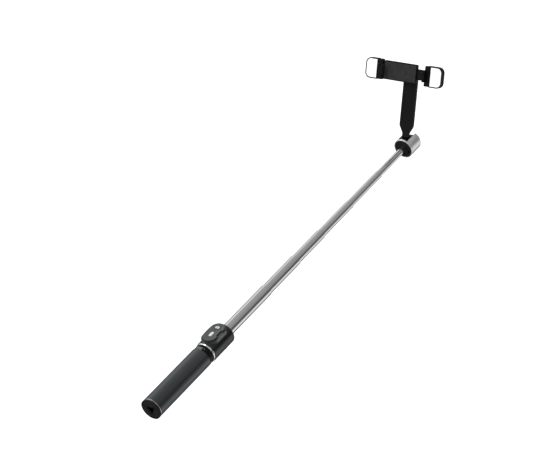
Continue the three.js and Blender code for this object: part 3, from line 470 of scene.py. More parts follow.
def pill(length, width, middle=0.0, steps=28):
    """An upright pill."""
    straight = (length - width) / 2
    top = arc((0, middle + straight), width / 2, 0, 180, steps)
    return top + arc((0, middle - straight), width / 2, 180, 360, steps)


print("outlines ready")

# %% Plates, turned pieces, cutting and joining
UP = Matrix.Identity(4)
FRONT = Matrix.Rotation(math.pi / 2, 4, "X")
SIDE = Matrix(((0, 0, 1, 0), (1, 0, 0, 0), (0, 1, 0, 0), (0, 0, 0, 1)))
FINE, ROUND, SMALL = 128, 96, 24  # facets round a full turn
HANDS = ((-1, "left"), (1, "right"))


def blank(shape, facing):
    """A loose solid from a bmesh. Plates face up, to the front (-Y) or to the side (+X)."""
    bmesh.ops.recalc_face_normals(shape, faces=shape.faces)
    shape.transform(facing)
    mesh = bpy.data.meshes.new("blank")
    shape.to_mesh(mesh)
    shape.free()
    solid = bpy.data.objects.new("blank", mesh)
    bpy.context.collection.objects.link(solid)
    return solid


def plate(outline, low, high, facing=UP):
    shape = bmesh.new()
    floor = shape.faces.new([shape.verts.new((x, y, low)) for x, y in outline])
    grown = bmesh.ops.extrude_face_region(shape, geom=[floor])["geom"]
    risen = [item for item in grown if isinstance(item, bmesh.types.BMVert)]
    bmesh.ops.translate(shape, verts=risen, vec=(0, 0, high - low))
    return blank(shape, facing)


def turned(profile, facing=UP, steps=ROUND, centre=(0, 0)):
    """A profile of (radius, height) points swept round an axis."""
    shape = bmesh.new()
    rings = []
    for radius, height in profile:
        if radius == 0:
            rings.append([shape.verts.new((*centre, height))] * steps)
            continue
        spots = arc(centre, radius, 0, 360 - 360 / steps, steps - 1)
        rings.append([shape.verts.new((x, y, height)) for x, y in spots])
    closed = profile[0][0] > 0 and profile[-1][0] > 0
    pairs = list(zip(rings, rings[1:])) + ([(rings[-1], rings[0])] if closed else [])
    for lower, upper in pairs:
        for spot in range(steps):
            beside = (spot + 1) % steps
            loop = [lower[spot], lower[beside], upper[beside], upper[spot]]
            corners = list(dict.fromkeys(loop))
            if len(corners) > 2:
                shape.faces.new(corners)
    return blank(shape, facing)


def rod(radius, low, high, facing=UP, steps=48, centre=(0, 0)):
    return turned([(0, low), (radius, low), (radius, high), (0, high)], facing, steps, centre)


def cuboid(x, y, z):
    """A block between two values on each axis, to be cut with or joined on."""
    return plate([(x[0], y[0]), (x[1], y[0]), (x[1], y[1]), (x[0], y[1])], z[0], z[1])


def settle(solid):
    """Makes a solid's modifiers part of its mesh."""
    graph = bpy.context.evaluated_depsgraph_get()
    shaped = bpy.data.meshes.new_from_object(solid.evaluated_get(graph))
    rough = solid.data
    solid.modifiers.clear()
    solid.data = shaped
    bpy.data.meshes.remove(rough)
    return solid


def work(solid, operation, tools):
    for tool in tools:
        step = solid.modifiers.new("tool", "BOOLEAN")
        step.operation = operation
        step.object = tool
        step.solver = "EXACT"
    settle(solid)
    for tool in tools:
        bpy.data.meshes.remove(tool.data)
    return solid


def cut(solid, *tools):
    return work(solid, "DIFFERENCE", tools)


def join(solid, *others):
    return work(solid, "UNION", others)


def common(solid, *others):
    return work(solid, "INTERSECT", others)


WELD = 0.004
FLAT = math.radians(0.4)
CORNER = math.radians(35)


def soften(solid, radius, steps=3):
    """Breaks every edge that is sharper than a corner."""
    shape = bmesh.new()
    shape.from_mesh(solid.data)
    bmesh.ops.remove_doubles(shape, verts=shape.verts, dist=WELD)
    bmesh.ops.dissolve_limit(shape, angle_limit=FLAT, verts=shape.verts, edges=shape.edges)
    shape.to_mesh(solid.data)
    shape.free()
    step = solid.modifiers.new("radius", "BEVEL")
    step.width = radius
    step.segments = steps
    step.limit_method = "ANGLE"
    step.angle_limit = CORNER
    step.use_clamp_overlap = False
    return settle(solid)


print("tools ready")

# %% Setting a finished piece down on the frame
SHARP = math.radians(32)


def dress(solid, name, finish, place):
    """Names a piece, moves it to its place on the stick and gives it its finish."""
    solid.name = name
    mesh = solid.data
    mesh.transform(place @ Matrix.Scale(MM, 4))
    mesh.materials.clear()
    mesh.materials.append(finish)
    mesh.shade_smooth()
    mesh.set_sharp_from_angle(angle=SHARP)
    normals = solid.modifiers.new("even_normals", "WEIGHTED_NORMAL")
    normals.keep_sharp = True


def fit(solid, name, node, finish, place=POLE, replaces=True):
    """Dresses a piece and puts it on the body that carries a frame piece."""
    dress(solid, name, finish, place)
    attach(solid, body_of[node])
    if replaces:
        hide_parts(node)
    print(f"{name}: {len(solid.data.polygons)} faces")


def refinish(node, finish):
    """Gives a frame piece that stays in sight a better material."""
    for slot in frame["nodes"][node].material_slots:
        slot.material = finish


def turn_to(solid, number):
    """Turns a piece that faces -Y to one of the three legs' places."""
    solid.data.transform(Matrix.Rotation(math.radians(120 * (number - 1)), 4, "Z"))


print("fitting tools ready")

# %% [markdown]
# ## Legs and feet
# Each leg is a third of a thick aluminium tube. A lug on its top turns on a pin in the hub, and
# a rib down the inside stiffens it. The foot is a rubber sole whose tongue plugs into the tube,
# and the soles leave a three-cornered hollow in the middle. One leg and foot are drawn facing
# -Y, and the others are the same shapes turned a third and two thirds round the pole.

# %% Legs
GRIP_RADIUS = 15.0
LEG_WALL = 3.8
HALF_SEAM = 0.3
LEG_COUNT = 3
LUG_HALF = 4.0
LUG_INNER = 10.0
LUG_OUTER = 14.4
LUG_ROOT = 6.0
PIN_BORE = 1.1
RIB_HALF = 0.8
RIB_CORNER = 0.7
RIB_DEPTH = 0.7
RIB_ROOT = 0.5
RIB_FROM_FOOT = 14.0
RIB_FROM_TOP = 10.0
RIM_OVER = 0.1

pin_low, pin_high = spread("leg_pin_1")
pin_out = -(pin_low.y + pin_high.y) / 2
pin_up = (pin_low.z + pin_high.z) / 2
leg_top = spread("leg_hub")[0].z - GAP


def third_of_ring(inner, outer, half_seam, steps=48):
    """A third of a ring, facing -Y, with straight sides that leave half a seam."""
    wide = 60 - math.degrees(math.asin(half_seam / outer))
    near = 60 - math.degrees(math.asin(half_seam / inner))
    outside = arc((0, 0), outer, -90 - wide, -90 + wide, steps)
    return outside + arc((0, 0), inner, -90 + near, -90 - near, steps)


def make_leg(number):
    wall = plate(third_of_ring(GRIP_RADIUS - LEG_WALL, GRIP_RADIUS, HALF_SEAM), leg_low.z, leg_top)
    lug_round = (LUG_OUTER - LUG_INNER) / 2
    lug_outline = [(-LUG_OUTER, leg_top - LUG_ROOT), (-LUG_INNER, leg_top - LUG_ROOT)]
    lug_outline += arc((-pin_out, pin_up), lug_round, 0, 180, 20)
    lug = plate(lug_outline, -LUG_HALF, LUG_HALF, SIDE)
    rib_outline = oblong(
        -RIB_HALF, RIB_HALF, leg_low.z + RIB_FROM_FOOT, leg_top - RIB_FROM_TOP, RIB_CORNER,
    )
    inner = GRIP_RADIUS - LEG_WALL
    rib = plate(rib_outline, inner - RIB_DEPTH, inner + RIB_ROOT, FRONT)
    leg = join(wall, lug, rib)
    rim = turned([
        (GRIP_RADIUS - LEG_CHAMFER - RIM_OVER, leg_low.z - RIM_OVER),
        (GRIP_RADIUS + OVER, leg_low.z - RIM_OVER),
        (GRIP_RADIUS + OVER, leg_low.z + LEG_CHAMFER + OVER),
    ])
    pin_half = LUG_HALF + OVER
    cut(leg, rim, rod(PIN_BORE, -pin_half, pin_half, SIDE, SMALL, (-pin_out, pin_up)))
    soften(leg, radius=0.3)
    turn_to(leg, number)
    fit(leg, f"leg_shell_{number}", f"leg_{number}", graphite)


for number in range(1, LEG_COUNT + 1):
    make_leg(number)
    refinish(f"leg_pin_{number}", bright_steel)

# %% Feet
FOOT_FLAT = 4.2
TONGUE_WALL = 2.2
TONGUE_SIDE = 2.0
TREAD_DEPTH = 0.45
TREAD_START, TREAD_END = 1.5, 2.2

foot_low, foot_high = spread("foot_1")
sole_top = leg_low.z - GAP


def sole_outline(inset, steps=48):
    """A foot's outline, drawn in from its edge by an inset."""
    flat = FOOT_FLAT + inset
    half_seam = HALF_SEAM + inset
    outer = GRIP_RADIUS - inset
    wide = 60 - math.degrees(math.asin(half_seam / outer))
    third = math.radians(60)
    reach = flat * math.tan(third) - half_seam / math.cos(third)
    return [(reach, -flat), (-reach, -flat)] + arc((0, 0), outer, -90 - wide, -90 + wide, steps)


def make_foot(number):
    sole = plate(sole_outline(0), foot_low.z, sole_top)
    inner = GRIP_RADIUS - LEG_WALL - GAP
    tongue_outline = third_of_ring(inner - TONGUE_WALL, inner, TONGUE_SIDE)
    tongue = plate(tongue_outline, (foot_low.z + sole_top) / 2, foot_high.z)
    foot = join(sole, tongue)
    groove = plate(sole_outline(TREAD_START), foot_low.z - OVER, foot_low.z + TREAD_DEPTH)
    cut(groove, plate(sole_outline(TREAD_END), foot_low.z - 2 * OVER, foot_low.z + 2 * OVER))
    cut(foot, groove)
    soften(foot, radius=0.22)
    turn_to(foot, number)
    fit(foot, f"foot_sole_{number}", f"foot_{number}", foot_rubber)


for number in range(1, LEG_COUNT + 1):
    make_foot(number)

# %% [markdown]
# ## Hub, bright ring and block
# The hub carries the legs' pins in three slots, and its neck plugs into the block. The chromed
# ring between them is a plain turned ring with a soft crown. The block is two glossy shells
# screwed together from the rear. The front one grows a flat-faced cradle for the remote, with a
# guard beside each of the remote's finger notches. Turned bodies with pieces cut out are the
# way a mould maker would build them too.

# %% Hub and ring
NECK_RADIUS = 12.0
NECK_DEPTH = 2.2
POLE_BORE = 9.7

hub_low, hub_high = spread("leg_hub")
ring_low, ring_high = spread("hub_ring")
block_low, block_high = spread("block_front_shell")
hub_radius = hub_high.x
shoulder = ring_low.z - GAP
hub = turned([
    (POLE_BORE, hub_low.z),
    (hub_radius, hub_low.z),
    (hub_radius, shoulder),
    (NECK_RADIUS, shoulder),
    (NECK_RADIUS, hub_high.z),
    (POLE_BORE, hub_high.z),
])
slots = []
half = LUG_HALF + GAP
slot_top = pin_up + (LUG_OUTER - LUG_INNER) / 2 + GAP
for number in range(1, LEG_COUNT + 1):
    slot = cuboid((-half, half), (-hub_radius - OVER, OVER - POLE_BORE), (hub_low.z - OVER, slot_top))
    bore = rod(PIN_BORE, pin_low.x - GAP, pin_high.x + GAP, SIDE, SMALL, (-pin_out, pin_up))
    turn_to(slot, number)
    turn_to(bore, number)
    slots += [slot, bore]
cut(hub, *slots)
fit(soften(hub, radius=0.25), "hub", "leg_hub", hub_black)

RING_CROWN = 0.25
RING_ROUND = 0.7
ring_bore = NECK_RADIUS + GAP
round_x = ring_high.x - RING_CROWN - RING_ROUND
ring_profile = [(ring_bore, ring_low.z)]
ring_profile += arc((round_x, ring_low.z + RING_ROUND), RING_ROUND, -90, 0, 8)
ring_profile += [(ring_high.x, (ring_low.z + ring_high.z) / 2)]
ring_profile += arc((round_x, ring_high.z - RING_ROUND), RING_ROUND, 0, 90, 8)
ring_profile += [(ring_bore, ring_high.z)]
fit(turned(ring_profile, steps=FINE), "bright_ring", "hub_ring", chrome)

# %% Block shells
BLOCK_ROUND = 3.0
CRADLE_GROWTH = 1.9
CRADLE_FACE = 15.4
CRADLE_BACK = 9.55
POCKET_BACK = 11.1
GUARD_INNER = 9.1
GUARD_OUTER = 12.4
GUARD_FACE = 15.7
GUARD_HALF = 5.7
GUARD_ROOT = 0.2
GUIDE_SEAT = 10.75
SCREW_OUT = 12.4
SCREW_HEAD = 1.7
SCREW_SHANK = 0.95
SCREW_RUN = 0.1
SCREW_SEAT = 4.9
SCREW_REACH = 5.5
PAST_REMOTE = 5.0

guide_low, guide_high = spread("guide_ring")
remote_low, remote_high = spread("remote_face")
block_radius = spread("block_rear_shell")[1].y
block_bottom, block_top = block_low.z, block_high.z
block_middle = (block_bottom + block_top) / 2
deep = block_radius + PAST_REMOTE
remote_length = remote_high.z - remote_low.z
remote_width = remote_high.x - remote_low.x


def remote_outline(growth, steps=32):
    return pill(remote_length + 2 * growth, remote_width + 2 * growth, block_middle, steps)


def block_body():
    body_profile = [(POLE_BORE, block_bottom), (block_radius, block_bottom)]
    body_profile += arc((block_radius - BLOCK_ROUND, block_top - BLOCK_ROUND), BLOCK_ROUND, 0, 90, 12)
    return turned(body_profile + [(POLE_BORE, block_top)], steps=FINE)


def pole_room():
    """What the pole, the hub's neck and the guide ring take out of the block."""
    return [
        rod(POLE_BORE, block_bottom - OVER, block_top + OVER, steps=ROUND),
        rod(ring_bore, block_bottom - OVER, block_bottom + NECK_DEPTH + GAP, steps=ROUND),
        rod(GUIDE_SEAT, guide_low.z - SEAT, block_top + OVER, steps=ROUND),
    ]


def screw_room():
    """Head and shank holes for both screws, from the rear face forwards."""
    rooms = []
    for side in (-1, 1):
        spot = (side * SCREW_OUT, block_middle)
        head, shank = SCREW_HEAD + GAP, SCREW_SHANK + SCREW_RUN
        rooms.append(rod(head, -block_radius - OVER, GAP - SCREW_SEAT, FRONT, 32, spot))
        rooms.append(rod(shank, -SCREW_SEAT - SCREW_RUN, SCREW_REACH + GAP, FRONT, SMALL, spot))
    return rooms


def half_block(near, far):
    """The part of the block between two depths."""
    height = (block_bottom - OVER, block_top + OVER)
    return common(block_body(), cuboid((-deep, deep), (near, far), height))


front_shell = half_block(-deep, -GAP / 2)
join(front_shell, plate(remote_outline(CRADLE_GROWTH), CRADLE_BACK, CRADLE_FACE, FRONT))
cut(front_shell, plate(remote_outline(GAP), POCKET_BACK, deep, FRONT))
for side in (-1, 1):
    across = sorted((side * GUARD_INNER, side * GUARD_OUTER))
    upright = (block_middle - GUARD_HALF, block_middle + GUARD_HALF)
    join(front_shell, cuboid(across, (-GUARD_FACE, -CRADLE_BACK - GUARD_ROOT), upright))
cut(front_shell, *pole_room(), *screw_room())
fit(soften(front_shell, radius=0.28), "block_front", "block_front_shell", gloss_black)

rear_shell = half_block(GAP / 2, deep)
cut(rear_shell, *pole_room(), *screw_room())
fit(soften(rear_shell, radius=0.28), "block_rear", "block_rear_shell", gloss_black)

# %% Screws, guide ring and sleeve
HEAD_FLAT = 1.1
HEAD_ROUND = 1.6
HEAD_DROP = 0.5
CROSS_LENGTH = 2.2
CROSS_WIDTH = 0.5
CROSS_DEPTH = 0.9

for side, hand in HANDS:
    screw_low, screw_high = spread(f"block_screw_{hand}")
    head_back = screw_high.y
    spot = (side * SCREW_OUT, block_middle)
    screw = turned([
        (0, -head_back),
        (HEAD_FLAT, -head_back),
        (HEAD_ROUND, -head_back + HEAD_DROP),
        (SCREW_HEAD, -SCREW_SEAT),
        (SCREW_SHANK, -SCREW_SEAT),
        (SCREW_SHANK, -screw_low.y),
        (0, -screw_low.y),
    ], FRONT, 32, spot)
    cross = []
    for length, width in ((CROSS_LENGTH, CROSS_WIDTH), (CROSS_WIDTH, CROSS_LENGTH)):
        x = (spot[0] - length / 2, spot[0] + length / 2)
        z = (spot[1] - width / 2, spot[1] + width / 2)
        cross.append(cuboid(x, (head_back - CROSS_DEPTH, head_back + OVER), z))
    cut(screw, join(*cross))
    fit(soften(screw, radius=0.06, steps=2), f"screw_{hand}", f"block_screw_{hand}", bright_steel)

GUIDE_BORE = 8.95
GUIDE_LEAD = 0.5
GUIDE_HEEL = 0.3
guide = turned([
    (GUIDE_BORE + GUIDE_HEEL, guide_low.z),
    (guide_high.x, guide_low.z),
    (guide_high.x, guide_high.z - GUIDE_LEAD),
    (guide_high.x - GUIDE_LEAD, guide_high.z),
    (GUIDE_BORE + GUIDE_LEAD, guide_high.z),
    (GUIDE_BORE, guide_high.z - GUIDE_LEAD),
    (GUIDE_BORE, guide_low.z + GUIDE_HEEL),
])
fit(guide, "guide", "guide_ring", hub_black)
refinish("pole_sleeve", bright_steel)

# %% [markdown]
# ## The remote
# The remote is a pill-shaped pod of two shells with a notch in each side for finger and thumb.
# A round button carries a camera pictogram, and a white capsule changes the mode. The pictogram
# is printed on the real thing. Here it is a very thin inlay, because a printed shape would be
# lost when the meshes are used without their materials.

# %% Remote shells
NOTCH_HALF = 6.0
NOTCH_DEPTH = 2.0
REMOTE_WALL = 1.2
REMOTE_FLOOR = 0.9
FACE_WALL = 1.0
SPLIT_SEAM = 0.1
SHUTTER_RADIUS = 4.6
MODE_LENGTH = 9.0
MODE_WIDTH = 4.6
tray_low, tray_high = spread("remote_tray")
shutter_low, shutter_high = spread("shutter_button")
mode_low, mode_high = spread("mode_button")
remote_back = -tray_high.y
remote_split = -tray_low.y
remote_front = -remote_low.y
remote_half = remote_width / 2
pocket_inset = -(NOTCH_DEPTH + REMOTE_WALL)
shutter_middle = (shutter_low.z + shutter_high.z) / 2
mode_middle = (mode_low.z + mode_high.z) / 2


def notches():
    inner = remote_half - NOTCH_DEPTH
    upright = (block_middle - NOTCH_HALF, block_middle + NOTCH_HALF)
    sides = ((inner, remote_width), (-remote_width, -inner))
    return [cuboid(x, (-deep - OVER, -remote_back + OVER), upright) for x in sides]


tray = plate(remote_outline(0, 48), remote_back, remote_split, FRONT)
hollow_outline = remote_outline(pocket_inset)
hollow = plate(hollow_outline, remote_back + REMOTE_FLOOR, remote_split + OVER, FRONT)
cut(tray, hollow, *notches())
fit(soften(tray, radius=0.35), "remote_back", "remote_tray", remote_grey)

face = plate(remote_outline(0, 48), remote_split + SPLIT_SEAM, remote_front, FRONT)
hole_back = remote_front - FACE_WALL - OVER / 2
shutter_hole = rod(SHUTTER_RADIUS + GAP, hole_back, deep + OVER, FRONT, 64, (0, shutter_middle))
mode_outline = pill(MODE_LENGTH + 2 * GAP, MODE_WIDTH + 2 * GAP, mode_middle)
mode_hole = plate(mode_outline, hole_back, deep + OVER, FRONT)
face_pocket = plate(hollow_outline, remote_split - OVER, remote_front - FACE_WALL, FRONT)
cut(face, face_pocket, shutter_hole, mode_hole, *notches())
fit(soften(face, radius=0.3), "remote_front", "remote_face", remote_grey)
refinish("remote_cell", bright_steel)
refinish("remote_board", board_green)

# %% Buttons and the camera pictogram
FLANGE_GROWTH = 0.6
FLANGE_FRONT = remote_front - FACE_WALL - SPLIT_SEAM
FLANGE_THICKNESS = 0.5
FLANGE_BACK = FLANGE_FRONT - FLANGE_THICKNESS
BUTTON_ROUND = 0.25
BUTTON_NICK = 0.08
DISH = 0.12
DISH_START, DISH_END = 0.4, 0.6
button_top = -shutter_low.y

shutter = turned([
    (0, FLANGE_BACK),
    (SHUTTER_RADIUS + FLANGE_GROWTH, FLANGE_BACK),
    (SHUTTER_RADIUS + FLANGE_GROWTH, FLANGE_FRONT),
    (SHUTTER_RADIUS, FLANGE_FRONT),
    (SHUTTER_RADIUS, button_top - BUTTON_ROUND),
    (SHUTTER_RADIUS - BUTTON_NICK, button_top - BUTTON_NICK),
    (SHUTTER_RADIUS - BUTTON_ROUND, button_top),
    (SHUTTER_RADIUS - DISH_START, button_top - DISH / 2),
    (SHUTTER_RADIUS - DISH_END, button_top - DISH),
    (0, button_top - DISH),
], FRONT, 64, (0, shutter_middle))
fit(shutter, "shutter_cap", "shutter_button", remote_grey)

SIGN_HALF = 3.1
SIGN_LOW, SIGN_HIGH = -2.1, 1.6
HUMP_HALF = 1.3
HUMP_LOW, HUMP_HIGH = 1.2, 2.4
LENS_RADIUS = 1.3
LENS_HEIGHT = -0.25
DOT_RADIUS = 0.7
INLAY = 0.3
SIGN_SUNK = 0.04


def camera_sign(level):
    """A small camera: a body with a hump, and a lens cut out of it with a dot in the middle."""
    middle = shutter_middle
    case = oblong(-SIGN_HALF, SIGN_HALF, middle + SIGN_LOW, middle + SIGN_HIGH, 0.6)
    hump = oblong(-HUMP_HALF, HUMP_HALF, middle + HUMP_LOW, middle + HUMP_HIGH, 0.35)
    sign = join(
        plate(case, level - INLAY, level, FRONT),
        plate(hump, level - INLAY - 2 * TUCK, level, FRONT),
    )
    lens_point = (0, middle + LENS_HEIGHT)
    cut(sign, rod(LENS_RADIUS, level - OVER, level + OVER, FRONT, 40, lens_point))
    return join(sign, rod(DOT_RADIUS, level - INLAY, level, FRONT, 32, lens_point))


sign = camera_sign(button_top - SIGN_SUNK)
fit(sign, "camera_sign", "shutter_button", white_plastic, replaces=False)

capsule_back = FLANGE_BACK + SPLIT_SEAM
capsule = plate(pill(MODE_LENGTH, MODE_WIDTH, mode_middle), capsule_back, button_top, FRONT)
soften(capsule, radius=0.35, steps=4)
flange_outline = pill(MODE_LENGTH + 2 * FLANGE_GROWTH, MODE_WIDTH + 2 * FLANGE_GROWTH, mode_middle)
flange = plate(flange_outline, FLANGE_BACK, FLANGE_FRONT, FRONT)
fit(join(capsule, flange), "mode_cap", "mode_button", white_plastic)

# %% [markdown]
# ## The pole
# Six tubes slide in one another. The maker rolls each mouth in a little so that the next tube
# can't fall out, which leaves a soft lip and a shallow crease just under it. A turned profile
# holds all of that. The bushes at the tubes' lower ends are hidden and stay as they are.

# %% Tubes
TUBE_COUNT = 6
TUBE_WALL = 0.45
LIP = 0.16
CREASE_BELOW = 3.2
CREASE_HALF = 0.7
CREASE_DEPTH = 0.12
LIP_ROUND = 0.22
MOUTH_DEPTH = 0.6


def crease_steps(radius, level):
    """The four points of a shallow groove, from its lower edge to its upper one."""
    return [
        (radius, level - CREASE_HALF),
        (radius - CREASE_DEPTH, level - CREASE_HALF / 3),
        (radius - CREASE_DEPTH, level + CREASE_HALF / 3),
        (radius, level + CREASE_HALF),
    ]


def make_tube(number):
    """One tube: a lip and a crease at its mouth, and a plain end for the innermost one."""
    low, high = spread(f"tube_{number}")
    outer, inner = high.x, high.x - TUBE_WALL
    crease = high.z - CREASE_BELOW
    profile = [(inner, low.z), (outer - LIP, low.z), (outer, low.z + LIP)]
    if number < TUBE_COUNT:
        profile += crease_steps(outer, crease)
        profile += arc((outer - LIP_ROUND, high.z - LIP_ROUND), LIP_ROUND, 0, 180, 10)
        profile += [(inner, high.z - MOUTH_DEPTH)]
        profile += reversed(crease_steps(inner, crease))
    else:
        profile += [(outer, high.z), (inner, high.z)]
    fit(turned(profile, steps=FINE), f"pole_tube_{number}", f"tube_{number}", steel)


for number in range(1, TUBE_COUNT + 1):
    make_tube(number)
    refinish(f"tube_bush_{number}", acetal)

# %% [markdown]
# ## The end cap
# A satin cup, turned and then milled open on the arm's side, holds a black core. The core's
# lower face sits a little inside the cup's rim and shows three round pockets. The arm's knuckle
# turns in the slot between two washers.

# %% Cap shell
CAP_WALL = 1.5
CAP_END_WALL = 1.4
CAP_RING = 3.0
CAP_CROWN = 1.2
CAP_LEAD = 0.35
CAP_RIM = 0.6
SLOT_HALF = 7.8
SLOT_BACK = 9.2
cap_low, cap_high = spread("cap_shell")
core_low, core_high = spread("cap_core")
cap_radius = cap_high.x
cap_inner = cap_radius - CAP_WALL
cup_profile = [
    (0, cap_high.z - CAP_END_WALL),
    (cap_inner, cap_high.z - CAP_END_WALL),
    (cap_inner, cap_low.z + CAP_LEAD),
    (cap_inner + CAP_LEAD, cap_low.z),
    (cap_radius - CAP_RIM, cap_low.z),
    (cap_radius, cap_low.z + CAP_RIM),
]
cup_profile += arc((cap_radius - CAP_CROWN, cap_high.z - CAP_CROWN), CAP_CROWN, 0, 90, 10)
cup_profile += [(0, cap_high.z)]
cup = turned(cup_profile, steps=FINE)
slot_z = (cap_low.z + CAP_RING, cap_high.z + OVER)
cut(cup, cuboid((-SLOT_HALF, SLOT_HALF), (-cap_radius - OVER, -SLOT_BACK), slot_z))
fit(soften(cup, radius=0.25), "end_cap", "cap_shell", silver)

# %% Cap core
SOCKET_RADIUS = spread("tube_6")[1].x + SEAT
SOCKET_DEPTH = 6.2
SLOT_FLOOR = 8.7
SLOT_LEAD = 4.5
KNUCKLE_RADIUS = 3.8
KNUCKLE_ROOM = 0.4
TILT_BORE = 1.3
TILT_HALF = 9.9
POCKET_RADIUS = 2.0
POCKET_CIRCLE = 9.3
POCKET_DEPTH = 3.0
pivot_out = -tilt_point.y / MM
pivot_up = tilt_point.z / MM
core_bottom = core_low.z
slot_sill = cap_low.z + CAP_RING + GAP
slot_back = -(pivot_out - KNUCKLE_RADIUS - KNUCKLE_ROOM)
slot_outline = [
    (-cap_radius - OVER, slot_sill),
    (-pivot_out - SLOT_LEAD, slot_sill),
    (slot_back, cap_low.z + SLOT_FLOOR),
    (slot_back, cap_high.z),
    (-cap_radius - OVER, cap_high.z),
]
core = rod(core_high.x, core_bottom, core_high.z, steps=ROUND)
core_tools = [
    rod(SOCKET_RADIUS, core_bottom - OVER, core_bottom + SOCKET_DEPTH, steps=64),
    plate(slot_outline, -SLOT_HALF, SLOT_HALF, SIDE),
    rod(TILT_BORE, -TILT_HALF, TILT_HALF, SIDE, SMALL, (-pivot_out, pivot_up)),
]
for turn in (30, 90, 150):
    spot = Vector((POCKET_CIRCLE, 0)) @ Matrix.Rotation(-math.radians(turn), 2)
    pocket_top = core_bottom + POCKET_DEPTH
    core_tools.append(rod(POCKET_RADIUS, core_bottom - OVER, pocket_top, UP, 32, tuple(spot)))
cut(core, *core_tools)
fit(soften(core, radius=0.2), "cap_inside", "cap_core", core_black)
refinish("tilt_pin", bright_steel)
refinish("tilt_washer_left", acetal)
refinish("tilt_washer_right", acetal)

# %% [markdown]
# ## The arm
# The arm is one moulding: a flat blade with a round end for the swivel, a narrow neck and a
# knuckle. Both faces are sunk between a raised border, which stiffens the blade and gives it the
# lighter middle that shows along its length. It is drawn in the arm's own place.

# %% Arm
BLADE_BACK = 2.0
NECK_HALF = 5.25
NECK_START = 5.0
NECK_END = 11.0
TAPER_END = 22.0
PANEL_DEPTH = 0.35
PANEL_HALF = 7.7
PANEL_START = 25.0
PANEL_STOP = 12.5
PANEL_CORNER = 3.0
HEAD_SEAT = 1.6
HEAD_ROOM = 4.0
BOLT_BORE = 2.1
KNUCKLE_HALF = 6.7
arm_low, arm_high = spread("arm", ARM)
blade_front = -arm_low.y
blade_half = arm_high.x
length = arm_length / MM
right_edge = rounded([
    (NECK_HALF, NECK_START, 0), (NECK_HALF, NECK_END, 4), (blade_half, TAPER_END, 6),
    (blade_half, length, 0),
], 0)
left_edge = [(-x, y) for x, y in reversed(right_edge)]
blade_outline = right_edge + arc((0, length), blade_half, 5, 175, 40) + left_edge
blade = plate(blade_outline, BLADE_BACK, blade_front, FRONT)
neck_front = -blade_front + 2 * TUCK
neck_back = -BLADE_BACK - 2 * TUCK
neck_side = [
    (neck_front, 5.5), (-3.4, -1.2), (2.6, 2), (neck_back, 9),
    (neck_back, NECK_END), (neck_front, NECK_END),
]
neck = plate(neck_side, -NECK_HALF + 2 * TUCK, NECK_HALF - 2 * TUCK, SIDE)
knuckle = rod(KNUCKLE_RADIUS, -KNUCKLE_HALF, KNUCKLE_HALF, SIDE, 56)
arm = join(blade, neck, knuckle)
panel = oblong(-PANEL_HALF, PANEL_HALF, PANEL_START, length - PANEL_STOP, PANEL_CORNER)
cut(
    arm,
    plate(panel, blade_front - PANEL_DEPTH, blade_front + OVER, FRONT),
    plate(panel, BLADE_BACK - OVER, BLADE_BACK + PANEL_DEPTH, FRONT),
    rod(TILT_BORE, -cap_radius, cap_radius, SIDE, SMALL),
    rod(BOLT_BORE, 0, blade_front + OVER, FRONT, 40, (0, length)),
    rod(HEAD_ROOM, 0, BLADE_BACK + HEAD_SEAT, FRONT, 48, (0, length)),
)
fit(soften(arm, radius=0.3), "arm_blade", "arm", satin_black, ARM)

# %% Swivel washer and bolt
SHANK_RADIUS = 2.0
HEX_RADIUS = 1.75
HEX_DEPTH = 0.8
HEAD_HEIGHT = 1.2
HEAD_CHAMFER = 0.3
WASHER_CHAMFER = 0.15
washer_low, washer_high = spread("swivel_washer", CLAMP)
rim, back, front = washer_high.x, -washer_high.y, -washer_low.y
washer = turned([
    (BOLT_BORE, back),
    (rim - WASHER_CHAMFER, back),
    (rim, back + WASHER_CHAMFER),
    (rim, front - WASHER_CHAMFER),
    (rim - WASHER_CHAMFER, front),
    (BOLT_BORE, front),
], FRONT)
fit(washer, "washer", "swivel_washer", acetal, CLAMP)

bolt_low, bolt_high = spread("swivel_bolt", CLAMP)
head_back, bolt_tip = -bolt_high.y, -bolt_low.y
head_radius = bolt_high.x
head_front = head_back + HEAD_HEIGHT
bolt = turned([
    (0, bolt_tip),
    (SHANK_RADIUS, bolt_tip),
    (SHANK_RADIUS, head_front),
    (head_radius, head_front),
    (head_radius, head_back + HEAD_CHAMFER),
    (head_radius - HEAD_CHAMFER, head_back),
    (0, head_back),
], FRONT, 64)
hexagon = plate(arc((0, 0), HEX_RADIUS, 0, 300, 5), head_back - OVER, head_back + HEX_DEPTH, FRONT)
fit(soften(cut(bolt, hexagon), radius=0.08, steps=2), "bolt", "swivel_bolt", bright_steel, CLAMP)

# %% [markdown]
# ## The clamp
# The clamp is a shallow box with a boss that turns on the bolt. A rubber cover closes it and is
# ribbed, because a phone's back leans on it. Each jaw has a tongue that runs into the box, a
# wall with a hook at its end, and a block with two ears for the light's hinge.

